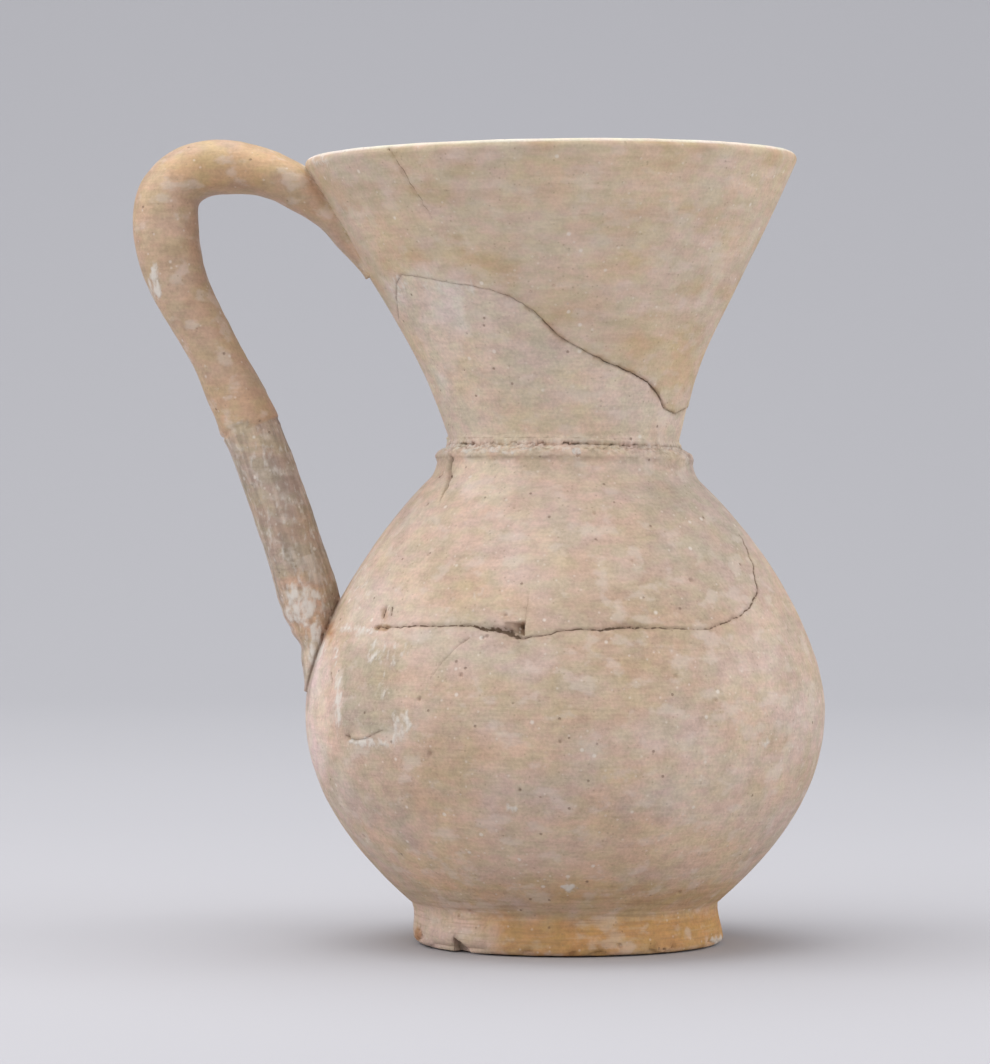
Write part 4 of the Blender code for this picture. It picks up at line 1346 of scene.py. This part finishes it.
# Darkened towards dark brown: earth in the joins and the seam, the pits, and painted shade under the bead and in the
# handle's crease.
look = blend_colour(tree, here("soil_and_shade"), look, (*EARTH_AND_SHADE_BROWN, 1))
crumbled = between(tree, uneven(tree, place, 0.0013, 3.0), 0.36, 0.62, 0.15, 1.35)
for line_name in LINES:
    beside_line, far, width = parted(tree, here(line_name, "Vector"))
    wider = times(tree, maths(tree, "MAXIMUM", maths(tree, "SUBTRACT", width, 0.55), 0.0), 0.8)
    open_here = plus(tree, times(tree, width, crumbled), wider, 0.02)
    off_line = maths(tree, "DIVIDE", maths(tree, "ABSOLUTE", beside_line), open_here)
    past_end = maths(tree, "DIVIDE", far, open_here)
    dark = times(tree, between(tree, off_line, 0.30, 0.62, 1.0, 0.0), between(tree, past_end, 1.2, 2.4, 1.0, 0.0))
    dark = times(tree, dark, between(tree, width, 0.04, 0.50, 0.35, 0.95))
    look = blend_colour(tree, dark, look, (*EARTH_AND_SHADE_BROWN, 1))
tree.links.new(look, surface.inputs["Base Color"])
dull = between(tree, mottled["Cloud"], 0.3, 0.7, 0.80, 0.95)
tree.links.new(maths(tree, "SUBTRACT", dull, times(tree, here("rubbed"), 0.36)), surface.inputs["Roughness"])
surface.inputs["Specular IOR Level"].default_value = 0.32
relief = plus(
    tree,
    mottled["Height"],
    times(tree, brushed["Height"], here("fill"), 0.8),
    times(tree, chalk_and_glints, 0.8),
    times(tree, streaks, here("streaked"), 2.0),
)
bump = put(tree, "ShaderNodeBump", Height=relief, Strength=0.80, Distance=0.00030)
tree.links.new(bump.outputs["Normal"], surface.inputs["Normal"])

ewer = placed("thrown_ewer", mesh)
mesh.materials.clear()
mesh.materials.append(clay)
mesh.polygons.foreach_set("material_index", [0] * len(mesh.polygons))
mesh.shade_smooth()
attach(ewer, "root")
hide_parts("ewer")

# The studio: a roll of pale grey paper that runs from the floor up the wall behind, lit by large soft lamps.
PAPER_FRONT = -7.0
PAPER_CURVE_STARTS = 1.3
PAPER_CURVE_RADIUS = 1.2
PAPER_CURVE_STEPS = 24
PAPER_TOP = 2.6
PAPER_HALF_WIDTH = 7.0
PAPER_BELOW_POT = 0.0004
# (distance behind the pot, the paper's colour there, made lighter and darker by distance as painted light and shade)
PAPER_TONE_AND_SHADING = [
    (-0.10, (0.482, 0.477, 0.499)),
    (0.45, (0.458, 0.454, 0.475)),
    (0.85, (0.464, 0.461, 0.481)),
    (1.35, (0.494, 0.492, 0.513)),
    (2.45, (0.462, 0.460, 0.481)),
]

paper_bm = bmesh.new()
run = [(PAPER_FRONT, 0.0), (PAPER_CURVE_STARTS, 0.0)]
for k in range(1, PAPER_CURVE_STEPS + 1):
    a = math.radians(90 * k / PAPER_CURVE_STEPS)
    run.append((PAPER_CURVE_STARTS + PAPER_CURVE_RADIUS * math.sin(a), PAPER_CURVE_RADIUS * (1 - math.cos(a))))
run.append((PAPER_CURVE_STARTS + PAPER_CURVE_RADIUS, PAPER_TOP))
left_side, right_side = (
    [paper_bm.verts.new((x, y, z - PAPER_BELOW_POT)) for y, z in run] for x in (-PAPER_HALF_WIDTH, PAPER_HALF_WIDTH)
)
for i in range(len(run) - 1):
    paper_bm.faces.new((left_side[i], right_side[i], right_side[i + 1], left_side[i + 1]))
paper_mesh = bpy.data.meshes.new("paper_roll")
paper_bm.to_mesh(paper_mesh)
paper_bm.free()
paper_mesh.shade_smooth()
paper = placed("paper_roll", paper_mesh)
paper_look = bpy.data.materials.new("paper")
paper_look.use_nodes = True
tree = paper_look.node_tree
paper_shader = next(n for n in tree.nodes if n.type == "BSDF_PRINCIPLED")
behind = parted(tree, put(tree, "ShaderNodeTexCoord").outputs["Object"])["Y"]
nearest, furthest = PAPER_TONE_AND_SHADING[0][0], PAPER_TONE_AND_SHADING[-1][0]
fade = put(tree, "ShaderNodeMapRange", Value=behind, From_Min=nearest, From_Max=furthest)
paper_shading = put(tree, "ShaderNodeValToRGB", Fac=fade.outputs[0])
stops = paper_shading.color_ramp.elements
for k, (y, colour) in enumerate(PAPER_TONE_AND_SHADING):
    share = (y - nearest) / (furthest - nearest)
    stop = stops[0] if k == 0 else stops.new(share) if k < len(PAPER_TONE_AND_SHADING) - 1 else stops[-1]
    stop.position = share
    stop.color = (*colour, 1)
tree.links.new(paper_shading.outputs["Color"], paper_shader.inputs["Base Color"])
paper_shader.inputs["Roughness"].default_value = 0.9
paper_shader.inputs["Specular IOR Level"].default_value = 0.1
paper_mesh.materials.append(paper_look)
paper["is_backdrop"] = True

# name, place, what it faces, width, height, power in watts, colour
LAMPS = [
    ("left_softbox", (-1.30, -0.45, 1.00), (0, 0, 0.1), 2.2, 1.9, 12.4, (1.0, 0.99, 0.98)),
    ("right_softbox", (1.50, -0.35, 0.60), (0, 0, 0.1), 1.3, 1.3, 8.6, (1.0, 0.99, 0.98)),
    ("top_softbox", (-0.2, 0.2, 1.8), (0, 0, 0), 1.7, 1.7, 22.0, (1.0, 1.0, 1.0)),
]
for name, place, aim, wide, high, power, colour in LAMPS:
    lamp_data = bpy.data.lights.new(name, "AREA")
    lamp_data.shape = "RECTANGLE"
    lamp_data.size = wide
    lamp_data.size_y = high
    lamp_data.energy = power
    lamp_data.color = colour
    lamp = placed(name, lamp_data)
    lamp.location = place
    lamp.rotation_euler = (Vector(aim) - Vector(place)).to_track_quat("-Z", "Y").to_euler()

world = bpy.data.worlds.new("room")
world.use_nodes = True
sky = next(n for n in world.node_tree.nodes if n.type == "BACKGROUND")
sky.inputs["Color"].default_value = (0.95, 0.96, 1.0, 1)
sky.inputs["Strength"].default_value = 0.77
bpy.context.scene.world = world
bpy.context.scene.view_settings.view_transform = "Standard"

low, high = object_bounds()
